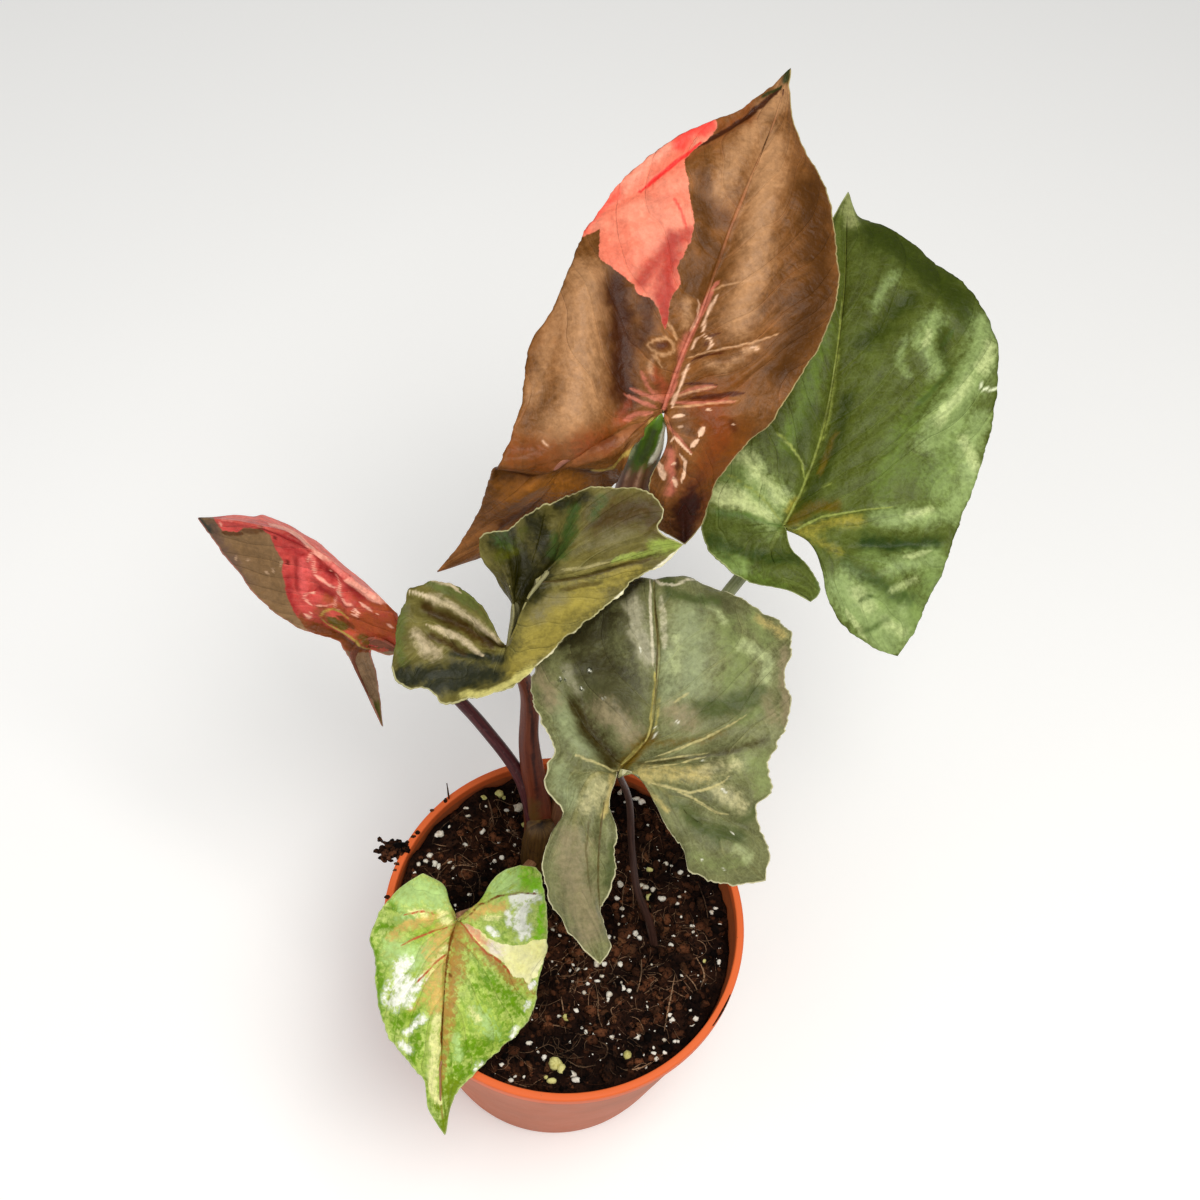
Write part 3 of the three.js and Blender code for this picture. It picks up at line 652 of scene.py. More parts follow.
leafMarks["grey"] = {
    "rows": 130, "columns": 54, "rough": 0.3, "deep": 1.12, "low": (98, 98, 60), "high": (136, 138, 94),
    "net": (0.45, 176, 180, 132), "vein": (0.3, 172, 168, 112), "rib": (0.4, 176, 164, 96),
    "margin": (0.95, 222, 216, 172), "under": ((126, 134, 104), (158, 164, 134)),
    "veins": (-0.5, -0.36, -0.2, -0.07, 0.06, 0.2, 0.36, 0.52, 0.7, 1),
}
leafMarks["grey"]["layers"] = [
    # painted shade, mostly the olive leaf's shadow over the grey leaf's left half
    ((86, 84, 54), (36, 0.85, 592, 640, 598, 676, 620, 700), (20, 0.7, 630, 600, 628, 640),
        (16, 0.6, 700, 604, 728, 612), (18, 0.5, 700, 712, 735, 704)),
    ((154, 162, 120), (22, 0.85, 688, 620, 692, 650, 690, 684), (13, 0.7, 670, 655, 668, 700),
        (12, 0.8, 558, 706, 570, 736, 590, 752), (12, 0.7, 560, 770, 570, 800)),
    ((140, 150, 96), (17, 0.85, 722, 632, 738, 662, 728, 690), (12, 0.7, 752, 620, 765, 640),
        (13, 0.7, 762, 758, 764, 790), (10, 0.5, 695, 856, 715, 864, 742, 858),
        (8, 0.7, 742, 722, 760, 712), (14, 0.7, 735, 766, 758, 764)),
    # painted highlight: a ring of light round a pucker, and small pale glints
    ((182, 190, 140), (8, 0.75, 740, 650, 756, 654, 766, 668, 764, 684),
        (5, 0.6, 696, 600, 712, 612, 722, 626), (6, 0.6, 735, 848, 748, 858), (6, 0.6, 676, 640, 672, 672)),
    ((152, 140, 108), (10, 0.8, 536, 672, 548, 690, 554, 706), (7, 0.85, 784, 655, 786, 690, 784, 722),
        (13, 0.7, 672, 712, 690, 724), (14, 0.85, 604, 712, 618, 722, 630, 736),
        (20, 0.7, 570, 840, 574, 880, 588, 930), (9, 0.6, 765, 700, 772, 720)),
    ((174, 170, 142), (10, 0.85, 632, 600, 640, 630, 648, 660), (7, 0.6, 566, 672, 576, 690)),
    # painted shadow of the olive leaf, deepest near its edge
    ((64, 60, 34), (14, 0.85, 572, 640, 598, 632, 612, 620), (16, 0.7, 580, 664, 604, 664, 622, 672),
        (6, 0.9, 640, 583, 622, 596, 602, 614, 580, 630, 562, 645), (9, 0.5, 630, 650, 636, 680)),
    # painted shade in the valley of the left lobe and between the ridges near the base
    ((66, 56, 20), (13, 0.85, 576, 706, 584, 724, 596, 742, 606, 756, 614, 762),
        (7, 0.6, 590, 726, 602, 748), (5, 0.6, 640, 765, 690, 758, 735, 750, 762, 742)),
    ((88, 98, 54), (8, 0.9, 664, 582, 670, 586), (7, 0.85, 668, 594, 690, 602, 714, 606),
        (13, 0.8, 704, 711, 734, 708, 756, 698), (12, 0.85, 690, 818, 712, 832, 738, 836),
        (9, 0.75, 742, 818, 756, 812), (6, 0.7, 612, 846, 608, 884), (8, 0.6, 676, 804, 700, 818)),
    ((110, 88, 22), (8, 0.9, 626, 764, 640, 748, 650, 738), (5, 0.5, 655, 745, 700, 742, 722, 735)),
    ((200, 182, 118), (8, 0.55, 640, 774, 672, 778, 706, 778), (4, 0.5, 640, 782, 654, 796, 668, 810),
        (4, 0.8, 612, 776, 608, 798, 603, 815), (7, 0.6, 760, 620, 782, 634)),
    ((206, 198, 150), (11, 0.55, 708, 770, 736, 766), (13, 0.6, 588, 806, 598, 786),
        (9, 0.55, 716, 788, 732, 798, 742, 808)),
    ((96, 84, 44), (1.3, 0.85, 604, 802, 599, 840, 597, 880, 599, 908),
        (1.1, 0.6, 590, 812, 584, 850, 588, 895), (1.2, 0.9, 655, 598, 658, 640, 656, 680, 652, 718),
        (1.1, 0.8, 649, 736, 636, 748, 622, 764)),
    ((216, 208, 180), (1.4, 0.8, 650, 582, 650, 610, 652, 645, 653, 668),
        (3.4, 0.45, 660, 598, 663, 620, 665, 650),
        (1.3, 0.8, 651, 577, 660, 586, 674, 588, 688, 582, 696, 580)),
    ((186, 174, 102), (1.4, 0.85, 655, 672, 653, 700, 650, 726, 646, 740),
        (1.3, 0.6, 659, 690, 657, 716, 654, 732), (1.4, 0.8, 646, 740, 633, 752, 622, 764)),
    ((196, 186, 132), (1.2, 0.75, 655, 757, 680, 749, 704, 740, 726, 729, 746, 717),
        (1.1, 0.6, 645, 763, 682, 757, 708, 753), (1.2, 0.8, 575, 757, 586, 763, 600, 767, 620, 769),
        (1.2, 0.8, 648, 774, 672, 770, 690, 761, 706, 757),
        (1.3, 0.85, 652, 783, 668, 788, 688, 794, 706, 791, 720, 785, 728, 778),
        (1.2, 0.75, 676, 793, 692, 799, 706, 807, 718, 813, 728, 814), (1.3, 0.6, 674, 703, 688, 694)),
    # painted glints on the water drops and on glossy spots
    ((246, 244, 226), (1.3, 0.95, 589, 671, 591, 673), (1.3, 0.95, 580, 688, 583, 688),
        (1.2, 0.95, 559, 681, 561, 681), (1.1, 0.9, 565, 680, 566, 680), (1, 0.8, 563, 672, 564, 673),
        (1.2, 0.6, 602, 702, 606, 701), (1.1, 0.6, 640, 648, 642, 654), (1.2, 0.8, 655, 727, 657, 729),
        (1.2, 0.7, 656, 733, 654, 739), (1.4, 0.6, 675, 722, 678, 725), (1.4, 0.7, 721, 790, 725, 794),
        (1.2, 0.6, 700, 762, 703, 762), (1, 0.6, 722, 866, 724, 870), (1, 0.6, 700, 858, 702, 860),
        (1, 0.6, 730, 832, 733, 835)),
]
leafMarks["grey"]["folds"] = [(14, -3.2, 582, 690, 590, 728, 614, 762), (15, 1.4, 612, 705, 626, 732),
    (16, 1.2, 556, 690, 572, 742, 600, 762), (4, -0.6, 652, 590, 656, 680, 648, 738, 620, 767),
    (10, -1.4, 640, 762, 700, 757, 745, 748), (9, 1.2, 640, 772, 680, 776, 716, 772),
    (3, -0.4, 655, 756, 722, 729, 745, 717), (3, -0.4, 655, 785, 690, 793, 726, 782),
    (14, 1.2, 720, 640, 735, 670), (12, -0.9, 700, 700, 745, 712), (14, 1, 710, 850, 740, 855),
    (10, -1, 690, 815, 735, 822), (5, -0.9, 603, 800, 598, 850, 600, 910),
    (12, 0.9, 580, 830, 580, 880, 592, 925), (9, -1, 565, 810, 556, 812), (12, -0.8, 606, 640, 600, 672)]

leafMarks["olive"] = {
    "rows": 130, "columns": 54, "rough": 0.33, "deep": 1.18, "plainInside": True, "low": (108, 100, 50),
    "high": (140, 132, 76), "net": (0.2, 150, 144, 86), "vein": (0.3, 160, 156, 100),
    "rib": (0.35, 166, 156, 92), "margin": (0.6, 222, 216, 160), "under": ((134, 130, 88), (166, 160, 118)),
    "veins": (-0.5, -0.38, -0.26, -0.14, -0.04, 0.1, 0.25, 0.42, 0.6, 0.8, 1),
}
leafMarks["olive"]["layers"] = [
    ((168, 154, 78), (20, 0.9, 532, 640, 556, 612, 590, 595), (12, 0.9, 512, 668, 536, 648, 560, 634),
        (12, 0.7, 606, 585, 632, 566)),
    ((90, 72, 38), (20, 0.85, 650, 512, 622, 512, 600, 520), (10, 0.5, 645, 525, 655, 530)),
    # painted shade on the dark left part of the far half, which faces away from the light
    ((48, 46, 2), (24, 0.95, 505, 540, 520, 562, 528, 590), (18, 0.9, 535, 520, 545, 560, 535, 592),
        (10, 0.9, 560, 505, 585, 500)),
    ((76, 98, 44), (9, 0.85, 574, 512, 566, 535, 558, 556), (6, 0.6, 602, 498, 592, 518),
        (9, 0.6, 505, 545, 500, 535), (6, 0.7, 548, 552, 552, 535)),
    ((92, 94, 14), (8, 0.7, 515, 550, 500, 558), (6, 0.6, 520, 540, 524, 528)),
    ((160, 176, 88), (9, 0.9, 676, 546, 656, 546), (3, 0.7, 655, 552, 630, 556, 610, 562)),
    ((136, 128, 92), (10, 0.6, 560, 600, 545, 606, 538, 616), (14, 0.5, 600, 545, 620, 535)),
    # painted shade along the crease in the band, and above it a painted highlight on its ridge
    ((92, 78, 34), (2.6, 0.8, 540, 583, 580, 578, 620, 567, 650, 560), (3, 0.6, 560, 590, 600, 582)),
    ((170, 160, 110), (1.5, 0.7, 560, 571, 585, 568, 610, 562)),
    # painted shade in the trough below the left lobe
    ((56, 58, 40), (14, 0.97, 398, 678, 440, 676, 490, 672), (10, 0.95, 430, 688, 470, 682),
        (6, 0.9, 455, 654, 500, 658)),
    # painted shade in the valleys of the left lobe
    ((82, 62, 22), (7, 0.95, 425, 606, 455, 622, 490, 644), (5, 0.8, 430, 636, 448, 642, 462, 652),
        (4, 0.8, 480, 640, 502, 644)),
    ((108, 116, 58), (8, 0.8, 432, 582, 456, 592, 474, 604), (7, 0.8, 400, 606, 398, 640, 402, 660),
        (5, 0.5, 480, 612, 496, 630)),
    # painted highlights on the ridges of the left lobe
    ((208, 192, 160), (4, 0.8, 430, 598, 452, 606, 472, 620, 498, 638),
        (3, 0.75, 436, 626, 452, 634, 470, 645, 484, 656), (8, 0.75, 416, 634, 424, 646, 436, 654),
        (4, 0.6, 428, 598, 440, 596), (1.6, 0.95, 406, 592, 424, 596, 440, 602),
        (1.6, 0.9, 430, 580, 450, 584, 460, 592), (1.4, 0.7, 425, 624, 440, 632, 455, 640)),
    ((238, 232, 208), (2.4, 0.9, 684, 546, 655, 570, 626, 591, 600, 616, 574, 635, 537, 664),
        (1.4, 0.9, 480, 530, 500, 522, 524, 508, 548, 500), (1.3, 0.7, 664, 508, 662, 528, 684, 544)),
    ((206, 198, 126), (4.5, 0.97, 462, 696, 490, 693, 512, 682, 530, 669), (2, 0.7, 500, 688, 516, 680)),
]
leafMarks["olive"]["folds"] = [(6, 1.4, 405, 592, 440, 600, 475, 620, 500, 640),
    (5, 1.1, 430, 626, 462, 640, 486, 657), (9, 1.2, 415, 636, 430, 654),
    (6, -1, 420, 608, 460, 625, 495, 646), (7, -1, 430, 640, 470, 656),
    (4, -0.8, 540, 583, 580, 578, 620, 567, 655, 556), (8, 0.8, 560, 571, 600, 562, 640, 550),
    (12, 1, 585, 515, 570, 545, 560, 560), (8, -0.9, 555, 520, 545, 560), (12, 0.8, 530, 640, 560, 612),
    (12, 0.8, 640, 520, 600, 530), (6, 1, 470, 693, 500, 689, 528, 670)]

leafMarks["pink"] = {
    "rows": 120, "columns": 48, "rough": 0.25, "low": (186, 52, 48), "high": (214, 84, 76),
    "net": (0.35, 226, 112, 100), "vein": (0.4, 226, 120, 106), "rib": (0.3, 190, 104, 84),
    "margin": (0.4, 232, 150, 132), "under": ((104, 54, 34), (140, 84, 60)),
    "veins": (-0.5, -0.36, -0.24, -0.12, 0.02, 0.12, 0.24, 0.36, 0.48, 0.62, 0.8, 1),
}
leafMarks["pink"]["layers"] = [
    ((150, 30, 32), (6, 0.85, 326, 571, 333, 576), (5, 0.85, 316, 590, 330, 598),
        (8, 0.8, 350, 588, 358, 598), (4, 0.6, 296, 558, 296, 572, 297, 588),
        (4, 0.7, 287, 578, 289, 600, 294, 612),
        (1.3, 0.9, 258, 529, 275, 533, 290, 539, 305, 546, 314, 551), (5, 0.7, 286, 548, 302, 556),
        (3, 0.7, 318, 562, 320, 570), (4, 0.6, 362, 596, 376, 603)),
    ((160, 74, 34), (22, 0.92, 394, 630, 376, 626, 356, 622), (13, 0.85, 392, 610, 376, 606),
        (7, 0.8, 342, 612, 326, 602)),
    ((124, 66, 26), (9, 0.95, 300, 622, 322, 634, 346, 646, 372, 656, 390, 658),
        (7, 0.8, 318, 612, 326, 622)),
    ((172, 112, 90), (2.4, 0.85, 300, 630, 312, 638, 326, 645, 344, 651)),
    ((232, 98, 94), (4, 0.8, 302, 562, 302, 580, 304, 596), (4, 0.7, 310, 566, 308, 574),
        (4, 0.7, 342, 574, 338, 566)),
    ((236, 126, 114),
        (3.8, 0.95, 222, 519, 250, 519, 275, 525, 300, 535, 318, 547, 330, 559, 350, 577, 370, 592,
            392, 601),
        (3, 0.7, 312, 556, 308, 562)),
    # painted highlights along the rolled upper band and round the puckers
    ((248, 170, 148), (1.5, 0.85, 268, 527, 285, 532, 300, 540, 312, 549, 322, 557, 338, 567),
        (3.4, 0.8, 346, 580, 358, 590, 372, 599, 388, 604), (1.2, 0.85, 313, 551, 309, 557, 306, 563),
        (1.1, 0.8, 312, 560, 313, 568, 314, 575), (1.1, 0.85, 314, 575, 321, 580, 328, 585, 336, 588),
        (1.1, 0.7, 333, 573, 337, 579, 339, 585), (1.2, 0.8, 341, 599, 346, 604, 353, 606),
        (1.1, 0.8, 304, 594, 303, 599, 307, 604, 312, 607), (1.1, 0.6, 314, 607, 324, 608, 334, 606),
        (1.6, 0.6, 335, 597, 334, 604, 333, 610)),
    # painted highlights, the brightest glints on the puckers
    ((246, 182, 156), (1.4, 0.9, 327, 571, 331, 571), (1.6, 0.95, 340, 584, 338, 591, 340, 597),
        (1.1, 0.85, 359, 604, 364, 607, 370, 610, 374, 612), (1, 0.8, 378, 613, 379, 614),
        (1.3, 0.95, 352, 612, 355, 609, 358, 612, 356, 616, 352, 614), (1.4, 0.9, 309, 594, 312, 596),
        (1.2, 0.8, 305, 593, 304, 597), (1.5, 0.9, 305, 614, 308, 618, 311, 616),
        (1, 0.8, 309, 613, 311, 614), (1.4, 0.8, 334, 611, 338, 613), (1.4, 0.8, 388, 624, 393, 628),
        (1, 0.7, 220, 522, 221, 527)),
    ((104, 50, 8), (5, 0.9, 312, 627, 328, 635, 348, 644, 364, 648), (3, 0.8, 336, 618, 352, 630)),
    ((88, 70, 6), (3.6, 0.95, 327, 619, 336, 625, 346, 630), (4, 0.8, 360, 638, 378, 645)),
    ((176, 148, 66), (1.1, 0.85, 320, 617, 326, 625, 338, 631, 350, 637, 362, 645, 373, 650),
        (1.2, 0.8, 319, 617, 323, 613, 331, 611, 340, 614, 347, 620)),
    ("patch", ((128, 98, 64), (144, 112, 76)), 190, 505, 213, 517, 218, 524, 222, 531, 236, 532, 244, 527,
        258, 529, 268, 536, 276, 548, 283, 560, 282, 572, 285, 585, 288, 598, 292, 610, 300, 622, 308, 632,
        300, 660, 180, 640),
    ("inside", (98, 74, 60), (9, 0.8, 212, 526, 222, 552, 245, 585)),
    ("inside", (52, 52, 44), (5, 0.95, 198, 518, 208, 530)),
    ("inside", (88, 52, 22), (3, 0.8, 222, 533, 242, 534), (3.5, 0.6, 240, 530, 262, 532)),
    ("inside", (182, 148, 116), (1.3, 0.7, 234, 557, 234, 561), (1.2, 0.7, 244, 562, 247, 560),
        (2, 0.8, 264, 572, 267, 574), (1.4, 0.8, 271, 568, 273, 573), (1.2, 0.8, 282, 560, 280, 567),
        (1.1, 0.6, 279, 550, 282, 556)),
    ((110, 28, 20), (1.4, 0.9, 272, 538, 275, 540), (1.5, 0.9, 286, 559, 287, 565)),
    ("patch", ((138, 108, 78), (152, 122, 92)), 300, 625, 318, 640, 332, 646, 345, 649, 352, 652, 366, 653,
        374, 652, 400, 650, 400, 740, 360, 740, 300, 650),
    ("inside", (96, 92, 30), (5, 0.95, 383, 728, 377, 704), (2, 0.8, 372, 700, 380, 722)),
    ("inside", (196, 164, 132), (1.6, 0.8, 362, 684, 374, 706)),
]
leafMarks["pink"]["folds"] = [(6, 1.4, 262, 521, 312, 546, 350, 577, 390, 600),
    (5, -1.2, 260, 530, 304, 548, 318, 560), (7, -1.5, 324, 570, 334, 578), (7, -1.4, 316, 592, 328, 598),
    (7, -1.1, 350, 590, 358, 598), (3.5, 0.9, 310, 556, 313, 577, 338, 590, 346, 605),
    (3.5, 0.8, 346, 605, 380, 613), (5, 0.8, 302, 560, 302, 595), (4, -0.8, 290, 560, 292, 590),
    (6, 1, 350, 614, 358, 614), (6, 0.9, 308, 616, 316, 612), (4, 1, 320, 617, 340, 631, 366, 645),
    (6, -1.2, 314, 628, 340, 641), (14, -0.8, 240, 555, 268, 585), (10, 0.9, 282, 548, 286, 590)]

leafMarks["cream"] = {
    "rows": 130, "columns": 60, "rough": 0.25, "ragged": 2.6, "low": (174, 204, 64),
    "high": (214, 230, 134), "net": (0.6, 84, 122, 16), "vein": (0.3, 120, 118, 34),
    "rib": (0.6, 150, 92, 26), "margin": (0.5, 216, 228, 160), "speckle": (0.7, 108, 150, 16),
    "under": ((158, 184, 104), (190, 206, 138)),
    "veins": (-0.5, -0.3, -0.12, 0.02, 0.14, 0.28, 0.44, 0.62, 0.8, 1),
}
leafMarks["cream"]["layers"] = [
    ((104, 148, 10), (12, 0.75, 482, 980, 504, 992, 514, 1008), (12, 0.85, 462, 1050, 482, 1045, 500, 1030),
        (10, 0.8, 458, 1072, 484, 1062), (8, 0.8, 396, 1022, 414, 1015, 420, 1036, 412, 1056),
        (6, 0.8, 378, 985, 381, 1012), (7, 0.8, 382, 928, 398, 921, 412, 915),
        (4, 0.8, 371, 940, 376, 962, 380, 985), (5, 0.95, 392, 906, 398, 908)),
    ((182, 214, 128), (15, 0.95, 408, 894, 424, 889, 436, 896), (11, 0.9, 498, 890, 512, 878),
        (13, 0.85, 396, 948, 418, 962, 432, 950), (10, 0.8, 476, 1012, 492, 1030),
        (5, 0.7, 456, 1036, 458, 1056), (6, 0.7, 416, 915, 400, 918)),
    ((132, 196, 24), (10, 0.95, 526, 880, 536, 888), (4, 0.8, 540, 905, 541, 925, 536, 938)),
    ((116, 142, 8), (8, 0.95, 454, 1085, 449, 1105, 446, 1132), (4, 0.8, 430, 1080, 438, 1108)),
    ((214, 180, 96), (11, 0.75, 446, 928, 436, 946, 434, 975, 437, 1006),
        (6, 0.85, 440, 914, 424, 918, 408, 926, 394, 936), (6, 0.8, 472, 914, 486, 908, 504, 905),
        (5, 0.5, 412, 1008, 426, 996)),
    ((176, 136, 62), (10, 0.85, 460, 930, 457, 958, 452, 985),
        (7, 0.8, 472, 942, 488, 956, 504, 970, 516, 982), (7, 0.8, 450, 990, 448, 1014, 445, 1034),
        (5, 0.6, 508, 976, 524, 984, 530, 992), (3, 0.6, 446, 1035, 444, 1080)),
    ((240, 240, 160), (5, 0.95, 438, 1018, 435, 1046, 433, 1072),
        (3.6, 0.9, 432, 1072, 434, 1094, 439, 1104), (5, 0.85, 440, 912, 447, 922),
        (4, 0.7, 412, 911, 428, 912), (4, 0.6, 446, 948, 436, 960), (4, 0.6, 424, 976, 434, 966),
        (4, 0.6, 498, 916, 486, 918), (4, 0.6, 470, 1008, 476, 1018)),
    # painted highlights: white gloss on the lobes and near the base
    ((252, 253, 238), (8, 1, 395, 1002, 402, 993, 412, 984), (7, 0.85, 398, 986, 400, 970, 408, 962),
        (4, 0.8, 424, 978, 414, 990, 410, 1004), (4, 0.9, 408, 1032, 416, 1024, 424, 1017),
        (4.4, 0.9, 402, 1045, 409, 1049), (8, 1, 522, 905, 520, 918, 522, 931),
        (5, 0.9, 512, 897, 536, 896), (4, 0.8, 490, 927, 496, 934), (4, 0.7, 508, 912, 510, 924),
        (3, 0.8, 534, 981, 529, 988), (4, 0.8, 516, 1029, 512, 1034), (4, 0.7, 476, 1068, 479, 1064),
        (4, 0.6, 385, 1000, 390, 980), (3, 0.5, 530, 1000, 524, 1010)),
    ("patch", ((252, 248, 158), (250, 246, 190)), 462, 921, 470, 925, 479, 929, 488, 936, 500, 942,
        513, 944, 526, 943, 532, 939, 556, 940, 556, 958, 540, 964, 537, 976, 532, 978, 528, 985, 522, 977,
        512, 976, 507, 967, 498, 957, 486, 951, 474, 938),
    ("inside", (236, 166, 126), (6, 0.9, 466, 924, 478, 935), (4, 0.6, 480, 938, 490, 944)),
    ("inside", (250, 236, 214), (6, 0.8, 490, 945, 500, 950)),
    ((186, 96, 50), (1.3, 0.85, 461, 922, 474, 940, 486, 952, 499, 959, 507, 968, 512, 978),
        (1.1, 0.8, 452, 926, 436, 930, 418, 937, 402, 946),
        (1.1, 0.8, 448, 952, 436, 962, 424, 976, 416, 984), (1.1, 0.6, 440, 914, 425, 910, 405, 914)),
    ((120, 74, 14), (1.5, 0.95, 457, 920, 450, 942, 446, 972, 443, 1005),
        (1.2, 0.9, 443, 1005, 441, 1032, 441, 1050),
        (1.1, 0.7, 464, 920, 478, 906, 498, 896, 520, 892, 540, 894), (1.8, 0.8, 450, 974, 451, 976)),
    ((176, 138, 48), (1.4, 0.8, 441, 1045, 440, 1075, 441, 1098)),
]
leafMarks["cream"]["folds"] = [(4, -0.8, 457, 920, 446, 972, 441, 1040, 442, 1095),
    (9, 0.8, 405, 985, 400, 1010), (9, 0.7, 518, 905, 520, 930), (4, -0.4, 461, 922, 486, 952, 510, 972),
    (4, -0.4, 452, 926, 418, 937, 402, 946), (4, -0.4, 448, 952, 424, 976), (8, 0.6, 470, 960, 490, 985),
    (6, 0.6, 425, 925, 440, 920), (6, 0.7, 436, 1020, 434, 1080)]


# Blades. The last four are in the picture's steps: a cell of the map of points, how far a stroke wavers,
# what counts as fine, and the depth of what is far outside a patch.

blade = {
    "thickness": 0.5, "lobeRows": 0.62, "sinusColumns": 0.5, "crowd": 1.3, "ripple": (0.55, 0.3),
    "sway": 0.9, "quilt": 0.28, "cell": 12, "waver": 6, "fine": 4, "outside": -20,
}


def nearLine(x, y, points):
    # how far a spot is from a line of points, and how far along the line
    nearest, along = math.hypot(x - points[0][0], y - points[0][1]), 0
    for i, ((ax, ay), (bx, by)) in enumerate(zip(points, points[1:])):
        long = (bx - ax) ** 2 + (by - ay) ** 2
        share = min(max(((x - ax) * (bx - ax) + (y - ay) * (by - ay)) / long, 0), 1)
        away = math.hypot(x - ax - share * (bx - ax), y - ay - share * (by - ay))
        if away < nearest:
            nearest, along = away, (i + share) / (len(points) - 1)
    return nearest, along


def pairs(numbers):
    return list(zip(numbers[::2], numbers[1::2]))


def smoothStep(value):
    value = min(max(value, 0), 1)
    return value * value * (3 - 2 * value)


class MarkMap:
    # a blade's points sorted by where they show in the picture, so that a stroke meets only those near it
    def __init__(self, bm):
        self.spots = {}
        self.seen = {}
        place = cameraAxes()[0]
        for vert in bm.verts:
            x, y = pictureSpot(vert.co)
            self.seen[vert] = vert.normal.dot(place - vert.co) > 0
            # strokes waver a little
            sway = noise.noise_vector(vert.co * 260) + 0.6 * noise.noise_vector(vert.co * 800)
            key = (int(x // blade["cell"]), int(y // blade["cell"]))
            self.spots.setdefault(key, []).append((vert, x, y, sway.x, sway.y))

    def near(self, points, reach):
        columns, rows = (range(int((min(part) - reach) // blade["cell"]),
                               int((max(part) + reach) // blade["cell"]) + 1) for part in zip(*points))
        for column in columns:
            for row in rows:
                yield from self.spots.get((column, row), ())

    def stroke(self, layer, strokes):
        for half, strength, *numbers in strokes:
            points = pairs(numbers)
            waver = min(half * 0.45, blade["waver"])
            for vert, x, y, swayX, swayY in self.near(points, half * 1.9 + 2):
                if not self.seen[vert]:
                    continue
                away, along = nearLine(x + waver * swayX, y + waver * swayY, points)
                away /= half
                # fine strokes are crisp and thin out at their ends, and broad ones are soft
                if half < blade["fine"]:
                    width = 0.45 + 0.55 * min(1, 5 * along, 5 * (1 - along))
                    share = strength * smoothStep(1.5 - away / width)
                else:
                    share = strength * math.exp(-1.1 * away ** 2)
                if share > vert[layer]:
                    vert[layer] = share

    def patch(self, layer, outline):
        # how far inside the outline each point is, below nought outside
        outline = pairs(outline)
        closed = [*outline, outline[0]]
        for spots in self.spots.values():
            for vert, *place in spots:
                vert[layer] = blade["outside"]
        for vert, x, y, *sway in self.near(outline, 6):
            inside = False
            for (ax, ay), (bx, by) in zip(closed, closed[1:]):
                if (ay > y) != (by > y) and x < (bx - ax) * (y - ay) / (by - ay) + ax:
                    inside = not inside
            away = nearLine(x, y, closed)[0]
            vert[layer] = away if inside else -away

    def folds(self, folds):
        lifts = {}
        for half, height, *numbers in folds:
            points = pairs(numbers)
            for vert, x, y, *sway in self.near(points, half * 2.4):
                if not self.seen[vert]:
                    continue
                lift = height * math.exp(-(nearLine(x, y, points)[0] / half) ** 2)
                lifts[vert] = lifts.get(vert, 0) + lift
        return lifts


def layersOf(look):
    # a layer that names no kind is a tint
    return [mark if isinstance(mark[0], str) else ("tint", *mark) for mark in look.get("layers", [])]


def addMarks(bm, look):
    # a field for each layer of marks, and the heights of the folds
    layers = layersOf(look)
    fields = [bm.verts.layers.float.new("mark%d" % i) for i in range(len(layers))]
    picture = MarkMap(bm)
    for field, (kind, shade, *lines) in zip(fields, layers):
        if kind == "patch":
            picture.patch(field, lines)
        else:
            picture.stroke(field, lines)
    return picture.folds(look.get("folds", []))


def veinCount(starts, place):
    # a whole number at each side vein, counted along the rib
    for i, (low, high) in enumerate(zip(starts, starts[1:])):
        if place <= high:
            return i + (place - low) / (high - low)
    return len(starts) - 1.0


def sideVein(leaf, starts, seed, along, side):
    # side veins lean to the tip and, in the lobes, away from it
    across = abs(side)
    forward = min(max((along + 0.2) / 0.35, 0), 1)
    lean = leaf["lean"] * (1.5 * forward - 0.5)
    drift = noise.noise(Vector((along * 5, side * 3 + seed, 0))) * 0.05 * min(1, across * 3)
    return veinCount(starts, along - lean * across ** 1.4 + drift)


def reliefAt(leaf, seed, place, marks):
    # an arch from rib to margin, puckers between the side veins, a waved margin and a slow sway
    along, side, span = marks["along"], marks["side"], marks["span"]
    across = abs(side)
    size = min(1, span / 15)
    edge = 0 if marks["inner"] else 1
    arch = leaf["arch"] * span * 4 * across * (1 - across)
    between = math.sin(math.pi * marks["vein"]) ** 2
    swell = 0.55 + 0.9 * noise.noise(Vector((math.floor(marks["vein"]) * 3.7 + seed, side * 3, across * 3)))
    near = math.exp(-((along - 0.08) / 0.22) ** 2) * math.exp(-(across / 0.45) ** 2)
    pucker = leaf["pucker"] * size * between * swell * across ** 0.5 * (1 - across ** 3) * (0.7 + near)
    wave = edge * leaf["wave"] * size * across ** 3 * math.sin(math.tau * leaf["waves"] * along)
    sway = blade["sway"] * size * min(1, across * 2.5) * noise.noise(place * 55 + Vector((seed, 0, 0)))
    quilt = blade["quilt"] * size * noise.noise(place * 240 + Vector((0, seed, 0)))
    return arch + pucker + wave + sway + quilt


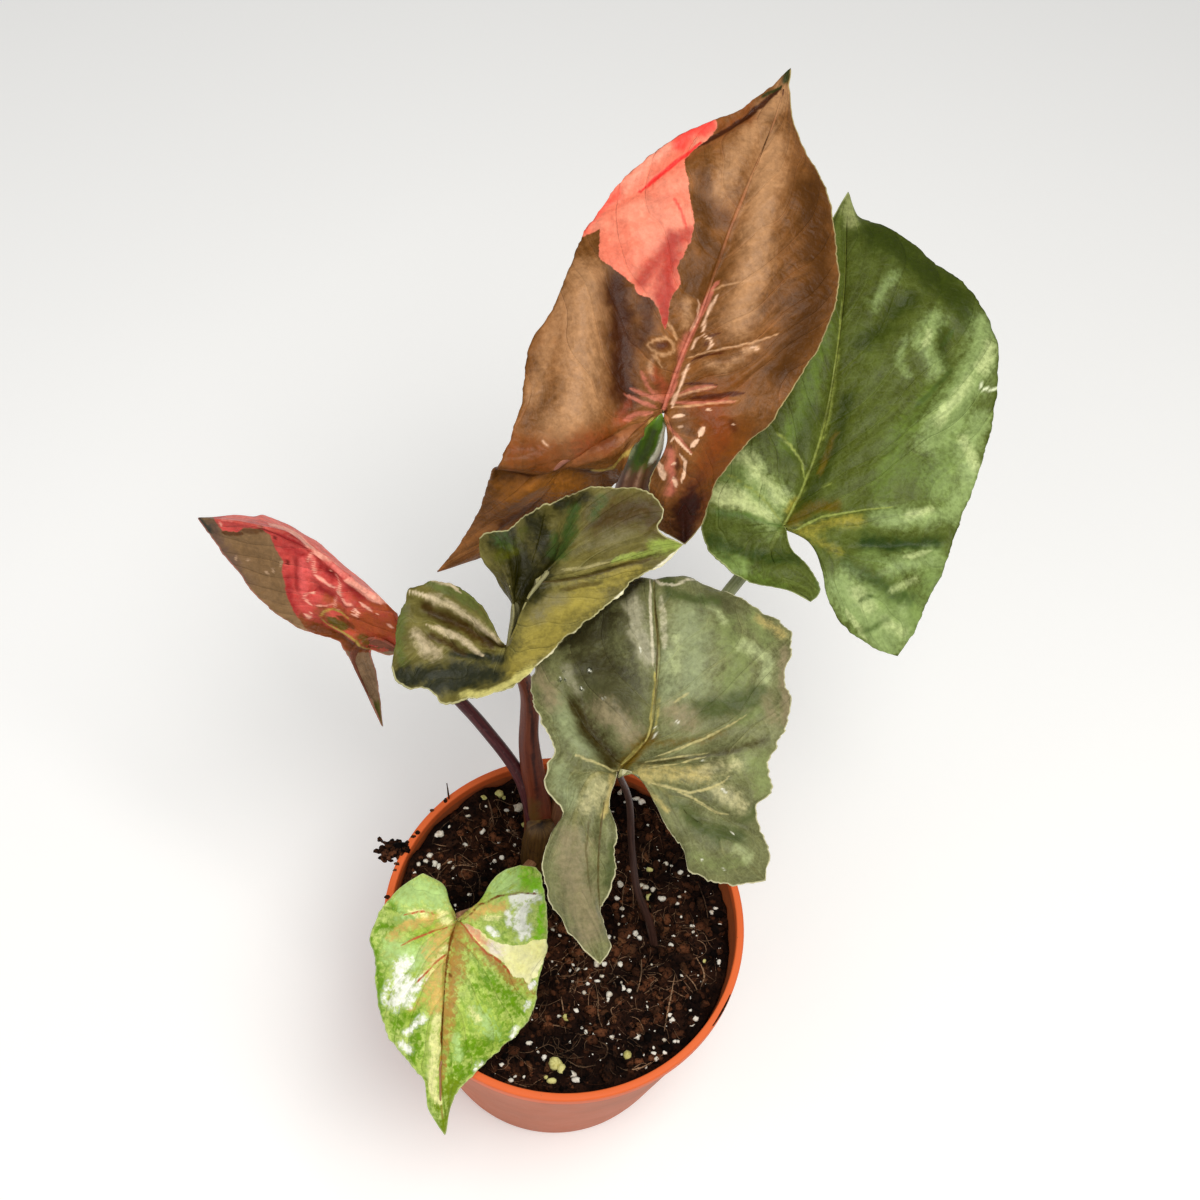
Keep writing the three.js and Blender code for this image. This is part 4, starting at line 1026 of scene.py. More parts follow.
def panel(bm, layers, rib, margin, along, rows, columns, side, crowd, flip, inner, frill):
    # a grid stretched between a rib and a margin, with its rows crowded towards one end of the rib
    coarse, fine = blade["ripple"]
    made = bmesh.ops.create_grid(bm, x_segments=rows, y_segments=columns, size=1)["verts"]
    ends = []
    for row in range(rows + 1):
        share = row / rows
        ribShare = share ** crowd if crowd > 0 else 1 - (1 - share) ** -crowd
        ends.append((rib.at(ribShare), margin.at(share)))
    for vert in made:
        row = round((vert.co.x + 1) / 2 * rows)
        across = round((vert.co.y + 1) / 2 * columns) / columns
        start, end = ends[row]
        span = (end - start).length
        ripple = frill * across ** 5 * min(1, span / mm / 8) * mm
        ripple *= coarse * noise.noise(end * 260) + fine * noise.noise(end * 900)
        vert.co = start.lerp(end, across) + (end - start).normalized() * ripple if span else start
        vert[layers["along"]] = along[0] + (along[1] - along[0]) * row / rows
        vert[layers["side"]] = side * across
        vert[layers["span"]] = span / mm
        vert[layers["out"]] = side * across * span / mm
        vert[layers["rim"]] = (1 - across) * span / mm
        vert[layers["inner"]] = inner
    if flip:
        bmesh.ops.reverse_faces(bm, faces=list({face for vert in made for face in vert.link_faces}))


def bladeMesh(name):
    leaf = leaves[name]
    look = leafMarks[name]
    seed = sum(ord(letter) for letter in name) % 50
    bm = bmesh.new()
    layers = {key: bm.verts.layers.float.new(key)
              for key in ("along", "side", "span", "out", "rim", "inner", "vein")}
    rows, columns = look["rows"], look["columns"]
    lobeRows, innerColumns = round(rows * blade["lobeRows"]), round(columns * blade["sinusColumns"])
    crowd = blade["crowd"]
    midrib = Path([leaf["base"], *leaf["midrib"], leaf["tip"]])
    for half, side in (("left", -1), ("right", 1)):
        part = leaf[half]
        margin = Path([part["corner"], *part["side"], leaf["tip"]])
        lobe = Path([part["lobeTip"], *part["lobe"], leaf["base"]])
        shoulder = Path([part["lobeTip"], *part["shoulder"], part["corner"]])
        sinus = Path([part["lobeTip"], *part["sinus"], leaf["base"]])
        frill = leaf.get("frill", 1)
        panel(bm, layers, midrib, margin, (0, 1), rows, columns, side, crowd, side > 0, 0, frill)
        panel(bm, layers, lobe, shoulder, (-0.5, 0), lobeRows, columns, side, -crowd, side > 0, 0, frill)
        panel(bm, layers, lobe, sinus, (-0.5, 0), lobeRows, innerColumns, side, -crowd, side < 0, 1, frill)
    bmesh.ops.remove_doubles(bm, verts=bm.verts, dist=2e-6)
    bm.normal_update()
    # the upper side is the one that the camera sees
    place = cameraAxes()[0]
    facing = 1 if sum(vert.normal.dot(place - vert.co) for vert in bm.verts) > 0 else -1
    if facing < 0:
        bmesh.ops.reverse_faces(bm, faces=bm.faces)
        bm.normal_update()
    folds = addMarks(bm, look)
    lifts = {}
    for vert in bm.verts:
        marks = {key: vert[layer] for key, layer in layers.items()}
        marks["vein"] = sideVein(leaf, look["veins"], seed, marks["along"], marks["side"])
        # calmer where the blade is seen from its edge or turns away
        calm = 0.2 + 0.8 * smoothStep((vert.normal.dot((place - vert.co).normalized()) + 0.05) / 0.5)
        vert[layers["vein"]] = marks["vein"]
        lifts[vert] = (facing * calm * reliefAt(leaf, seed, vert.co, marks) + folds.get(vert, 0)) * mm
    for vert, lift in lifts.items():
        vert.co += vert.normal * lift
    return bm, layers


class MarkedShader(Shader):
    # a surface with marks laid over it, ragged at their edges; the marks include painted highlights and
    # painted shade
    def __init__(self, name, look):
        super().__init__(name)
        self.look = look
        self.where = self.place()
        self.cloud = self.noise(self.where, 62.0, 4.0, 0.6)
        self.mottle = self.noise(self.where, 330.0, 4.0, 0.65)
        self.speck = self.noise(self.where, 820.0, 3.0, 0.6)
        self.grain = self.noise(self.where, 1500.0, 3.0)
        self.flow = self.mottle

    def marked(self, colour):
        inside = 0.0
        torn = (self.mottle - 0.5) * 5 + (self.speck - 0.5) * 3
        fleck = self.smooth(self.speck, 0.36, 0.64)
        ragged = ((self.flow - 0.5) * 0.5 + (fleck - 0.5) * 0.22) * self.look.get("ragged", 1.0)
        for i, (kind, shade, *lines) in enumerate(layersOf(self.look)):
            mark = self.attribute("mark%d" % i)
            if kind == "patch":
                first, second = shade
                inside = self.smooth(mark + torn, -0.5, 0.9)
                mixed = self.blend(self.smooth(self.cloud, 0.4, 0.62), first, second)
                mixed = self.blend(self.smooth(self.speck, 0.5, 0.75) * 0.35, mixed, second)
                colour = self.blend(inside, colour, mixed)
                continue
            share = self.smooth(mark + ragged * self.smooth(mark, 0.0, 0.3), 0.0, 1.0)
            if kind == "inside":
                share = share * inside
            colour = self.blend(share, colour, shade)
        return colour

    def varied(self, colour, *shares):
        # lighter and darker by noises, each with its share
        tone = 1.0
        for wave, share in shares:
            tone = tone + (wave - 0.5) * share
        return self.blend(1.0, colour, self.point(tone, tone, tone), "MULTIPLY")

    def laid(self, colour, where, key):
        # one of the look's shades over the colour, at its strength
        share, *shade = self.look[key]
        return self.blend(where * share, colour, shade)

    def streaks(self, turns, lengths, scale, rough):
        # fibres that run along a stalk
        where = self.point(self.attribute("round") * turns, self.attribute("along") * lengths)
        return self.noise(where, scale, 4.0, rough)


class LeafShader(MarkedShader):
    # the blade's own lines: rib, side veins and the fine net between them
    def __init__(self, name, look):
        super().__init__(name, look)
        names = ("out", "rim", "side", "along", "vein")
        self.out, self.rim, self.side, self.along, self.vein = map(self.attribute, names)
        across = abs(self.side)
        self.sectorShading = self.sum("FRACT", self.vein)
        offLine = abs(self.sum("FRACT", self.vein + 0.5) - 0.5) * 12
        self.line = 1 - self.smooth(offLine + (self.speck - 0.5) * 0.5, 0.0, 0.7 - 0.4 * across)
        ribWidth = 1.15 - 0.8 * abs(self.along)
        onMain = self.smooth(self.along, -0.3, 0.0) * 0.8 + 0.2
        self.rib = (1 - self.smooth(abs(self.out), ribWidth * 0.3, ribWidth)) * onMain
        netEdge = self.cells(self.wobbled(0.0018, 330.0), 330.0)
        self.net = 1 - self.smooth(netEdge, 0.0, 0.11)
        self.pillow = self.smooth(netEdge, 0.0, 0.42)
        self.fineNet = 1 - self.smooth(self.cells(self.wobbled(0.0007, 700.0), 1100.0), 0.0, 0.16)
        # streaks that run out along the side veins
        self.flow = self.noise(self.point(self.vein * 3.2, self.out * 0.11), 1.0, 6.0, 0.68, 0.4)

    def wobbled(self, reach, scale):
        # places pushed about a little, so that the net's cells are uneven
        away = self.node("ShaderNodeTexNoise", {}, {"Vector": self.where, "Scale": scale, "Detail": 2.0}, 1)
        moved = self.node("ShaderNodeVectorMath", {"operation": "SCALE"}, {0: away, "Scale": reach})
        return self.node("ShaderNodeVectorMath", {"operation": "ADD"}, {0: self.where, 1: moved})

    def colours(self):
        look = self.look
        body = self.smooth(self.cloud * 0.7 + self.flow * 0.5 + 0.15 * self.mottle, 0.45, 0.9)
        colour = self.blend(body, look["low"], look["high"])
        if "speckle" in look:
            fleck = self.smooth(self.speck * 0.45 + self.mottle * 0.15 + self.flow * 0.4, 0.46, 0.57)
            colour = self.laid(colour, fleck, "speckle")
        colour = self.laid(colour, self.net * self.mottle * 0.7, "net")
        colour = self.laid(colour, self.fineNet * 0.25, "net")
        colour = self.laid(colour, self.line * (0.3 + self.mottle), "vein")
        colour = self.laid(colour, self.rib, "rib")
        colour = self.marked(colour)
        colour = self.node("ShaderNodeGamma", {}, {"Color": colour, "Gamma": look.get("deep", 1.0)})
        # painted shade: each space between side veins is graded lighter towards one side, as on raised
        # sectors
        colour = self.varied(colour, (self.flow, 0.55), (self.mottle, 0.45), (self.speck, 0.4),
                             (self.grain, 0.3), (self.sectorShading, 0.16), (self.pillow, 0.12))
        return self.edged(colour)

    def underside(self):
        low, high = self.look["under"]
        colour = self.blend(self.smooth(self.cloud * 0.6 + self.flow * 0.5, 0.4, 0.8), low, high)
        colour = self.blend((self.line + self.rib) * 0.5, colour, self.look["rib"][1:])
        return self.edged(self.varied(colour, (self.flow, 0.4), (self.mottle, 0.4), (self.speck, 0.3)))

    def edged(self, colour):
        # the thin pale margin, on one half or both
        look = self.look
        share = (1 - self.smooth(self.rim, 0.1, 0.5)) * (0.5 + self.mottle)
        if look.get("plainInside"):
            share = share * (1 - self.attribute("inner"))
        if "marginSide" in look:
            share = share * self.smooth(self.side * look["marginSide"], 0.0, 0.1)
        return self.laid(colour, share, "margin")

    def relief(self):
        height = 1 - self.line * 0.24 - self.rib * 0.45 - self.fineNet * 0.03
        height = height + self.pillow * 0.25 + self.flow * 0.5 + self.mottle * 0.35
        return self.bump(height + self.speck * 0.2 + self.grain * 0.07, 0.0008, 0.7)


def leafMaterials(name):
    look = leafMarks[name]
    upper = LeafShader("leaf_" + name, look)
    under = LeafShader("underside_" + name, look)
    return upper.finish({
        "Base Color": upper.colours(),
        "Roughness": look["rough"] + 0.2 * upper.mottle,
        "Normal": upper.relief(),
        "Specular IOR Level": 0.14,
        "Coat Weight": 0.03,
        "Coat Roughness": 0.15,
    }), under.finish({
        "Base Color": under.underside(),
        "Roughness": 0.5 + 0.2 * under.mottle,
        "Normal": under.relief(),
        "Specular IOR Level": 0.25,
    })


# Ribs under the blades. The share is of the stalk's thickness where it meets the blade.

ribs = {"sides": 10, "share": 0.5, "reach": 0.95, "taper": 0.8, "sunk": 0.85, "under": 0.35, "end": 0.12}


def addRibs(name, bm, layers, material):
    # the midrib stands out on the underside, but not where the blade is folded sharply along it
    share = stalks[name].get("rib", ribs["share"])
    if not share:
        return
    line = [(vert[layers["along"]], vert.co.copy(), vert.normal.copy()) for vert in bm.verts
            if abs(vert[layers["out"]]) < 1e-4 and vert[layers["along"]] >= 0]
    line.sort(key=lambda item: item[0])
    thick = stalks[name]["sizes"][-2][1] * share
    route, sizes = [], []
    for along, place, normal in line[:int(len(line) * ribs["reach"]):2]:
        size = thick * (1 - along) ** ribs["taper"]
        route.append(place - normal * ((size * ribs["sunk"] + ribs["under"]) * mm))
        sizes.append((size + ribs["end"]) * mm)
    made = bmesh.new()
    sweep(made, route, sizes, ribs["sides"])
    addToPlant(keepMesh(made, "rib_" + name, material), "leaf_" + name)


def makeLeaf(name):
    # returns the spot under the blade where its stalk joins
    bm, layers = bladeMesh(name)
    bm.normal_update()
    base = min(bm.verts, key=lambda vert: abs(vert[layers["along"]]) + abs(vert[layers["side"]]))
    seat = base.co - base.normal * (stalkForm["under"] * mm)
    addRibs(name, bm, layers, stalkMaterial(name))
    if name == drops["leaf"]:
        addDrops(bm)
    upper, under = leafMaterials(name)
    piece = keepMesh(bm, "blade_" + name, upper)
    piece.data.materials.append(under)
    wall = piece.modifiers.new("thickness", "SOLIDIFY")
    wall.thickness = blade["thickness"] * mm
    wall.offset = 0
    wall.material_offset = 1
    addToPlant(piece, "leaf_" + name, "leaf_" + name)
    return seat


# Water on the grey leaf

drops = {
    "leaf": "grey", "height": 0.55,
    "seen": [(590, 671, 1.5), (581, 688, 1.3), (560, 681, 1.2), (566, 680, 0.8), (563, 672, 0.8)],
}


def addDrops(bm):
    made = bmesh.new()
    spots = [(*pictureSpot(vert.co), vert) for vert in bm.verts]
    for x, y, size in drops["seen"]:
        vert = min(spots, key=lambda spot: math.hypot(spot[0] - x, spot[1] - y))[2]
        turn = vert.normal.to_track_quat("Z", "Y").to_matrix().to_4x4()
        seat = Matrix.Translation(vert.co + vert.normal * (blade["thickness"] * 0.4 * mm))
        squash = Matrix.Diagonal((1, 1.15, drops["height"], 1))
        bmesh.ops.create_icosphere(made, subdivisions=3, radius=size / 2 * mm, matrix=seat @ turn @ squash)
    shader = Shader("water")
    ripple = shader.noise(shader.place(), 900.0, 2.0)
    tint = shader.blend(ripple, (255, 255, 255), (246.99, 250.46, 249.31))
    material = shader.finish({
        "Base Color": tint,
        "Roughness": 0.02 + 0.04 * ripple,
        "Transmission Weight": 1.0,
        "IOR": 1.33,
        "Normal": shader.bump(ripple, 0.00005, 0.3),
    })
    addToPlant(keepMesh(made, "drops_" + drops["leaf"], material), "leaf_" + drops["leaf"])


# Stalks and crown. Sizes are radii at shares of the length, and the marks are laid as on the blades.

stalks = {}
stalks["olive"] = {
    "base": (94, 34, 12), "light": (124, 58, 30), "dark": (64, 20, 10),
    "rib": 0, "sizes": [(0, 5.0), (0.14, 4.4), (0.3, 3.5), (0.6, 2.7), (0.85, 2.1), (0.96, 2.0), (1, 1.0)],
    "route": [(-9.5, 23.5, 86), (-12, 27.5, 106), (-15, 32.5, 126), (-16, 36, 147)],
    "layers": [
        ((52, 12, 4), (1.6, 0.85, 527, 682, 532, 720, 535, 780, 538, 812)),
        # painted highlight: a lighter stripe down the stalk
        ((150, 78, 52), (2.2, 0.7, 537, 690, 541, 730, 545, 775)),
        ((96, 66, 26), (9, 0.8, 532, 806, 536, 846, 540, 862)),
        ((40, 18, 8), (1.5, 0.8, 520, 835, 530, 850, 533, 862))],
}
stalks["pink"] = {
    "base": (60, 20, 26), "light": (96, 44, 46), "dark": (120, 92, 88),
    "rib": 0, "sizes": [(0, 2.2), (0.5, 1.9), (0.96, 1.7), (1, 1.3)],
    "route": [(-11, 22, 92), (-17, 29, 112), (-27, 35, 125), (-36, 39, 135)],
}
stalks["bronze"] = {
    "base": (104, 62, 38), "light": (130, 88, 58), "dark": (72, 40, 22), "rib": 0.32,
    "sizes": [(0, 2.2), (0.5, 2.0), (0.62, 3.0), (0.72, 5.2), (0.82, 5.0), (0.92, 4.1), (0.98, 2.8),
              (1, 0.9)],
    "route": [(-7, 22, 88), (-5, 29, 104), (-1, 43, 120), (3.4, 65, 150), (6.2, 79, 184), (8, 81, 198)],
    "layers": [
        # painted highlights on the brown stalk below the blade
        ((196, 150, 124), (1.6, 0.8, 630, 467, 622, 500), (1.8, 0.7, 643, 462, 634, 498)),
        ((70, 104, 18), (17, 1, 664, 410, 656, 428, 640, 456)),
        ((48, 60, 4), (5, 0.85, 654, 430, 649, 444, 643, 460)),
        ((132, 176, 46), (3.4, 0.95, 664, 410, 668, 420, 669, 430),
            (2.4, 0.8, 660, 412, 648, 424, 640, 440)),
        # painted highlights: a pale and a white strip on the green top of the stalk
        ((186, 204, 132), (2.6, 0.9, 648, 418, 640, 430, 634, 444, 629, 460)),
        ((246, 246, 222), (3.4, 1, 666, 426, 663, 440, 657, 453, 650, 464))],
}
stalks["green"] = {
    "base": (128, 134, 92), "light": (158, 160, 122), "dark": (92, 96, 62),
    "sizes": [(0, 2.1), (0.5, 1.9), (0.96, 1.8), (1, 1.4)],
    "route": [(-7, 21, 86), (0, 29, 100), (16, 46, 126), (35, 66, 161)],
}
stalks["cream"] = {
    "base": (146, 96, 66), "light": (176, 132, 92), "dark": (112, 72, 46),
    "sizes": [(0, 1.5), (0.5, 1.3), (0.96, 1.2), (1, 1.0)],
    "route": [(-11, 17, 82), (-19, 2, 89), (-25, -7, 98)],
}
stalks["grey"] = {
    "base": (46, 26, 20), "light": (84, 56, 46), "dark": (26, 14, 12),
    "sizes": [(0, 1.3), (0.5, 1.0), (0.96, 0.9), (1, 0.7)],
    "route": [(29, -5, 66), (25, 2, 80), (20, 7, 92), (17, 13, 105), (14, 15, 131)],
}
stalkForm = {"steps": 120, "sides": 28, "under": 0.9}


def stalkMaterial(name):
    look = stalks[name]
    shader = MarkedShader("stalk_" + name, look)
    fibre = shader.streaks(14, 3, 1.6, 0.65)
    colour = shader.blend(shader.smooth(fibre, 0.35, 0.7), look["base"], look["light"])
    colour = shader.blend(shader.smooth(shader.speck, 0.55, 0.75) * 0.5, colour, look["dark"])
    return shader.finish({
        "Base Color": shader.marked(colour),
        "Roughness": 0.34 + 0.2 * fibre,
        "Specular IOR Level": 0.35,
        "Normal": shader.bump(fibre * 0.8 + shader.speck * 0.3, 0.0003, 0.5),
    })


def sizeAt(sizes, share):
    for (low, first), (high, second) in zip(sizes, sizes[1:]):
        if share <= high:
            return first + (second - first) * smoothStep((share - low) / (high - low))
    return sizes[-1][1]


def makeStalk(name, seat):
    stalk = stalks[name]
    steps = stalkForm["steps"]
    route = Path([*stalk["route"], seat / mm]).steps(steps)
    sizes = [sizeAt(stalk["sizes"], i / steps) * mm for i in range(steps + 1)]
    bm = bmesh.new()

    def channel(angle, share):
        # a shallow channel along one side
        return 1 - 0.1 * (0.5 + 0.5 * math.cos(angle)) ** 6 + 0.015 * math.cos(5 * angle)

    sweep(bm, route, sizes, stalkForm["sides"], channel)
    addMarks(bm, stalk)
    node = "petiole_" + name
    addToPlant(keepMesh(bm, "stalk_" + name, stalkMaterial(name)), node, node)


crown = {
    "foot": (-10, 21, 66), "height": 34, "radius": 5.4, "dome": 0.9, "collar": (0.55, 0.6, 0.25),
    "steps": 30, "sides": 40,
    "base": (72, 46, 18), "light": (108, 78, 36), "dark": (36, 20, 8),
    "layers": [
        # painted highlight on the sheath's ring, and painted shade just below it
        ((120, 92, 44), (1.6, 0.7, 530, 826, 545, 816, 553, 806)),
        ((26, 12, 6), (1.5, 0.9, 531, 830, 546, 820, 554, 811))],
}


def crownMaterial():
    shader = MarkedShader("crownSheath", crown)
    fibre = shader.streaks(26, 2.5, 1.4, 0.6)
    blotch = shader.noise(shader.where, 170.0, 4.0, 0.6)
    colour = shader.blend(shader.smooth(fibre, 0.3, 0.7), crown["base"], crown["light"])
    colour = shader.blend(shader.smooth(blotch, 0.5, 0.7) * 0.7, colour, crown["dark"])
    return shader.finish({
        "Base Color": shader.marked(colour),
        "Roughness": 0.42 + 0.2 * fibre,
        "Specular IOR Level": 0.3,
        "Normal": shader.bump(fibre + blotch * 0.4, 0.0005, 0.6),
    })


def makeCrown():
    steps, dome = crown["steps"], crown["dome"]
    low, high, swell = crown["collar"]
    route, sizes = [], []
    for i in range(steps + 1):
        share = i / steps
        size = crown["radius"] * (1 - 0.15 * share - 0.1 * smoothStep((share - high) / 0.3))
        if share > dome:
            size *= math.sqrt(max(1 - ((share - dome) / (1 - dome)) ** 2, 0.02))
        if low < share < high:
            size += swell
        route.append((Vector(crown["foot"]) + Vector((0, 0, crown["height"] * share))) * mm)
        sizes.append(size * mm)
    bm = bmesh.new()

    def wrapped(angle, share):
        return 1 + 0.05 * math.cos(3 * angle + 2 * share) + 0.02 * math.cos(11 * angle)

    sweep(bm, route, sizes, crown["sides"], wrapped)
    addMarks(bm, crown)
    addToPlant(keepMesh(bm, "crown_sheath", crownMaterial()), "crown", "crown")


for leafName in leaves:
    makeStalk(leafName, makeLeaf(leafName))
makeCrown()
print("leaves, stalks and crown made")

# Potting mix

soil = {
    "level": 75, "relief": 1.6, "slope": 0.03, "rings": 96, "segments": 300, "gap": 0.3, "reach": 47.4,
    "lumps": ((1.5, 150), (0.9, 400), (0.6, 900)), "bank": (2.2, 6.0, 33, 12),
    "gapShadowAndDamp": (6.59, 3.29, 3.29), "black": (13, 6, 4), "dark": (72, 42, 28), "brown": (124, 75, 48),
    "crumbs": 1500, "crumbSizes": (0.4, 0.5, 0.7, 0.9, 1.3, 1.8),
}
fullTurn = 6.3    # radians, near enough


def soilHeight(x, y):
    lumps = math.sin(0.31 * x + 1.2) * math.cos(0.27 * y - 0.6)
    crumbs = 0.5 * math.sin(0.83 * x - 0.4 * y) * math.sin(0.71 * y + 0.9)
    return soil["level"] + soil["relief"] * (lumps + crumbs) - soil["slope"] * (y + pot["rim"])


def soilTop(x, y):
    # with the finer lumps that only show here
    where = Vector((x, y, soil["level"])) * mm
    rough = sum(high * noise.noise(where * scale) for high, scale in soil["lumps"])
    # heaped against the wall at the back and on the left
    turn, high, start, wide = soil["bank"]
    facing = math.cos(math.atan2(y, x) - turn)
    bank = high * smoothStep((math.hypot(x, y) - start) / wide) * smoothStep(0.5 + facing)
    return soilHeight(x, y) + rough + bank


def soilMaterial(name, dark, light, rough=0.72):
    shader = Shader(name)
    where = shader.place()
    coarse = shader.noise(where, 190.0, 6.0, 0.7)
    crumb = shader.noise(where, 1100.0, 4.0, 0.7)
    shade = shader.attribute("shade")
    colour = shader.blend(shader.smooth(coarse * 0.6 + crumb * 0.4 + shade, 0.3, 0.8), dark, light)
    clod = shader.smooth(shader.noise(where, 75.0, 3.0, 0.5), 0.5, 0.62)
    colour = shader.blend(clod * 0.5, colour, light)
    # damp black patches, and painted shadow in the gaps between the crumbs
    damp = shader.smooth(shader.noise(where, 65.0, 2.0, 0.5), 0.38, 0.56)
    lit = shader.smooth(crumb, 0.34, 0.52) * (0.3 + 0.7 * damp)
    colour = shader.blend(lit, soil["gapShadowAndDamp"], colour)
    return shader.finish({
        "Base Color": colour,
        "Roughness": rough + 0.2 * crumb,
        "Specular IOR Level": 0.08,
        "Normal": shader.bump(coarse + crumb * 0.8, 0.0012, 0.9),
    })


def makeSoil():
    fit = outerRadius(soil["level"]) - pot["wall"] - soil["gap"]
    low = outerRadius(pot["floor"]) - pot["wall"] - soil["gap"]
    profile = [(0, pot["floor"] + soil["gap"]), (low, pot["floor"] + soil["gap"])]
    profile += [(fit - 1.2, soil["level"] - 8), (fit, soil["level"] - 3)]
    profile += [(fit * (1 - i / soil["rings"]), soil["level"]) for i in range(soil["rings"] + 1)]
    bm = turned(profile, soil["segments"])
    for vert in bm.verts:
        if vert.co.z > (soil["level"] - 1) * mm:
            vert.co.z = soilTop(vert.co.x / mm, vert.co.y / mm) * mm
    material = soilMaterial("pottingMix", soil["black"], soil["dark"])
    addToPlant(keepMesh(bm, "soil_mix", material), "soil", "soil")


def onSoil(x, y, lift):
    # a little above the mix, where it shows at this spot of the picture
    height = soil["level"]
    for i in range(3):
        spot = pointBehind(x, y, height)
        height = soilTop(spot.x / mm, spot.y / mm)
    # nothing lies past the wall
    inside = min(1, (soil["reach"] - 0.6) * mm / spot.xy.length)
    x, y = spot.x / mm * inside, spot.y / mm * inside
    return Vector((x, y, soilTop(x, y))) * mm + Vector((0, 0, lift * mm))


def anySpot(chance, reach):
    turn = chance.uniform(0, math.tau)
    out = reach * math.sqrt(chance.random())
    x, y = out * math.cos(turn), out * math.sin(turn)
    return Vector((x, y, soilTop(x, y))) * mm


class Heap:
    # many small shapes, made in their own bmesh and then put together
    def __init__(self):
        self.whole = bmesh.new()
        self.carrier = bpy.data.meshes.new("carrier")

    def add(self, make, *values):
        bm = bmesh.new()
        bm.verts.layers.float.new("shade")
        make(bm, *values)
        bmesh.ops.recalc_face_normals(bm, faces=bm.faces)
        bm.to_mesh(self.carrier)
        bm.free()
        self.whole.from_mesh(self.carrier)

    def keep(self, name, material):
        addToPlant(keepMesh(self.whole, name, material), "soil")


def lump(bm, chance, spot, size, flat=0.75, fineness=1, rough=0.3):
    # an uneven pebble that is partly sunk in the mix
    layer = bm.verts.layers.float["shade"]
    turn = Euler([chance.uniform(0, fullTurn) for i in range(3)]).to_matrix().to_4x4()
    stretch = Matrix.Diagonal((chance.uniform(0.75, 1.3), chance.uniform(0.75, 1.1), flat, 1))
    made = bmesh.ops.create_icosphere(bm, subdivisions=fineness, radius=size * mm,
                                      matrix=Matrix.Translation(spot) @ stretch @ turn)["verts"]
    shade = chance.uniform(-0.25, 0.25)
    grain = max(size, 0.4)
    for vert in made:
        away = vert.co - spot
        coarse = noise.noise(vert.co * 500 / grain) + 0.6 * noise.noise(vert.co * 1500 / grain)
        vert.co = spot + away * (1 + rough * 2 * coarse)
        vert[layer] = shade


def makeCrumbs():
    chance = random.Random(11)
    heap = Heap()
    for i in range(soil["crumbs"]):
        heap.add(lump, chance, anySpot(chance, soil["reach"]), chance.choice(soil["crumbSizes"]))
    heap.keep("soil_crumbs", soilMaterial("mixCrumbs", soil["black"], soil["brown"]))


# Bark chips: where each shows, its size and its turn

chips = {
    "count": 100, "size": (1.2, 4.5), "lean": 0.5, "width": (0.35, 0.7), "thickness": (0.14, 0.26),
    "dark": (58, 35, 23), "light": (118, 76, 48),
    "seen": [(662, 872, 6.5, 0.3), (676, 858, 4, 1.2), (645, 856, 5, 2.0), (632, 950, 4.2, 0.8),
        (622, 940, 3, 2.4), (704, 925, 5, 1.5), (700, 905, 4, 1.9), (556, 912, 5, 1.3), (602, 1052, 3, 0.2),
        (516, 1030, 3.4, 1.0), (690, 888, 3.4, 2.7), (655, 1010, 4.4, 2.0), (600, 985, 3, 0.4),
        (470, 828, 3.4, 2.2)],
}


def chip(bm, chance, spot, size, turn):
    # a flat flake of bark with broken edges
    layer = bm.verts.layers.float["shade"]
    most = chips["lean"]
    lean = Euler((chance.uniform(-most, most), chance.uniform(-most, most), turn)).to_matrix()
    wide, thick = chance.uniform(*chips["width"]), chance.uniform(*chips["thickness"])
    shade = chance.uniform(-0.3, 0.3)
    own = Vector((size * 9, turn * 5, 0))
    for vert in bmesh.ops.create_icosphere(bm, subdivisions=2, radius=1)["verts"]:
        # squared off, then broken unevenly
        square = vert.co / max(abs(part) for part in vert.co)
        form = vert.co.lerp(square, 0.75) * (0.5 + 0.25 * noise.noise(vert.co * 1.4 + own))
        vert.co = spot + lean @ (Vector((form.x, form.y * wide, form.z * thick)) * size * mm)
        vert[layer] = shade


def makeChips():
    chance = random.Random(23)
    heap = Heap()
    for x, y, size, turn in chips["seen"]:
        heap.add(chip, chance, onSoil(x, y, 0.5), size, turn)
    for i in range(chips["count"]):
        size = chance.uniform(*chips["size"])
        heap.add(chip, chance, anySpot(chance, soil["reach"] - 2), size, chance.uniform(0, fullTurn))
    heap.keep("soil_bark", soilMaterial("barkChips", chips["dark"], chips["light"], 0.65))


# Perlite and feed pellets: where each shows and its size there. A scale is half the mm in a step.

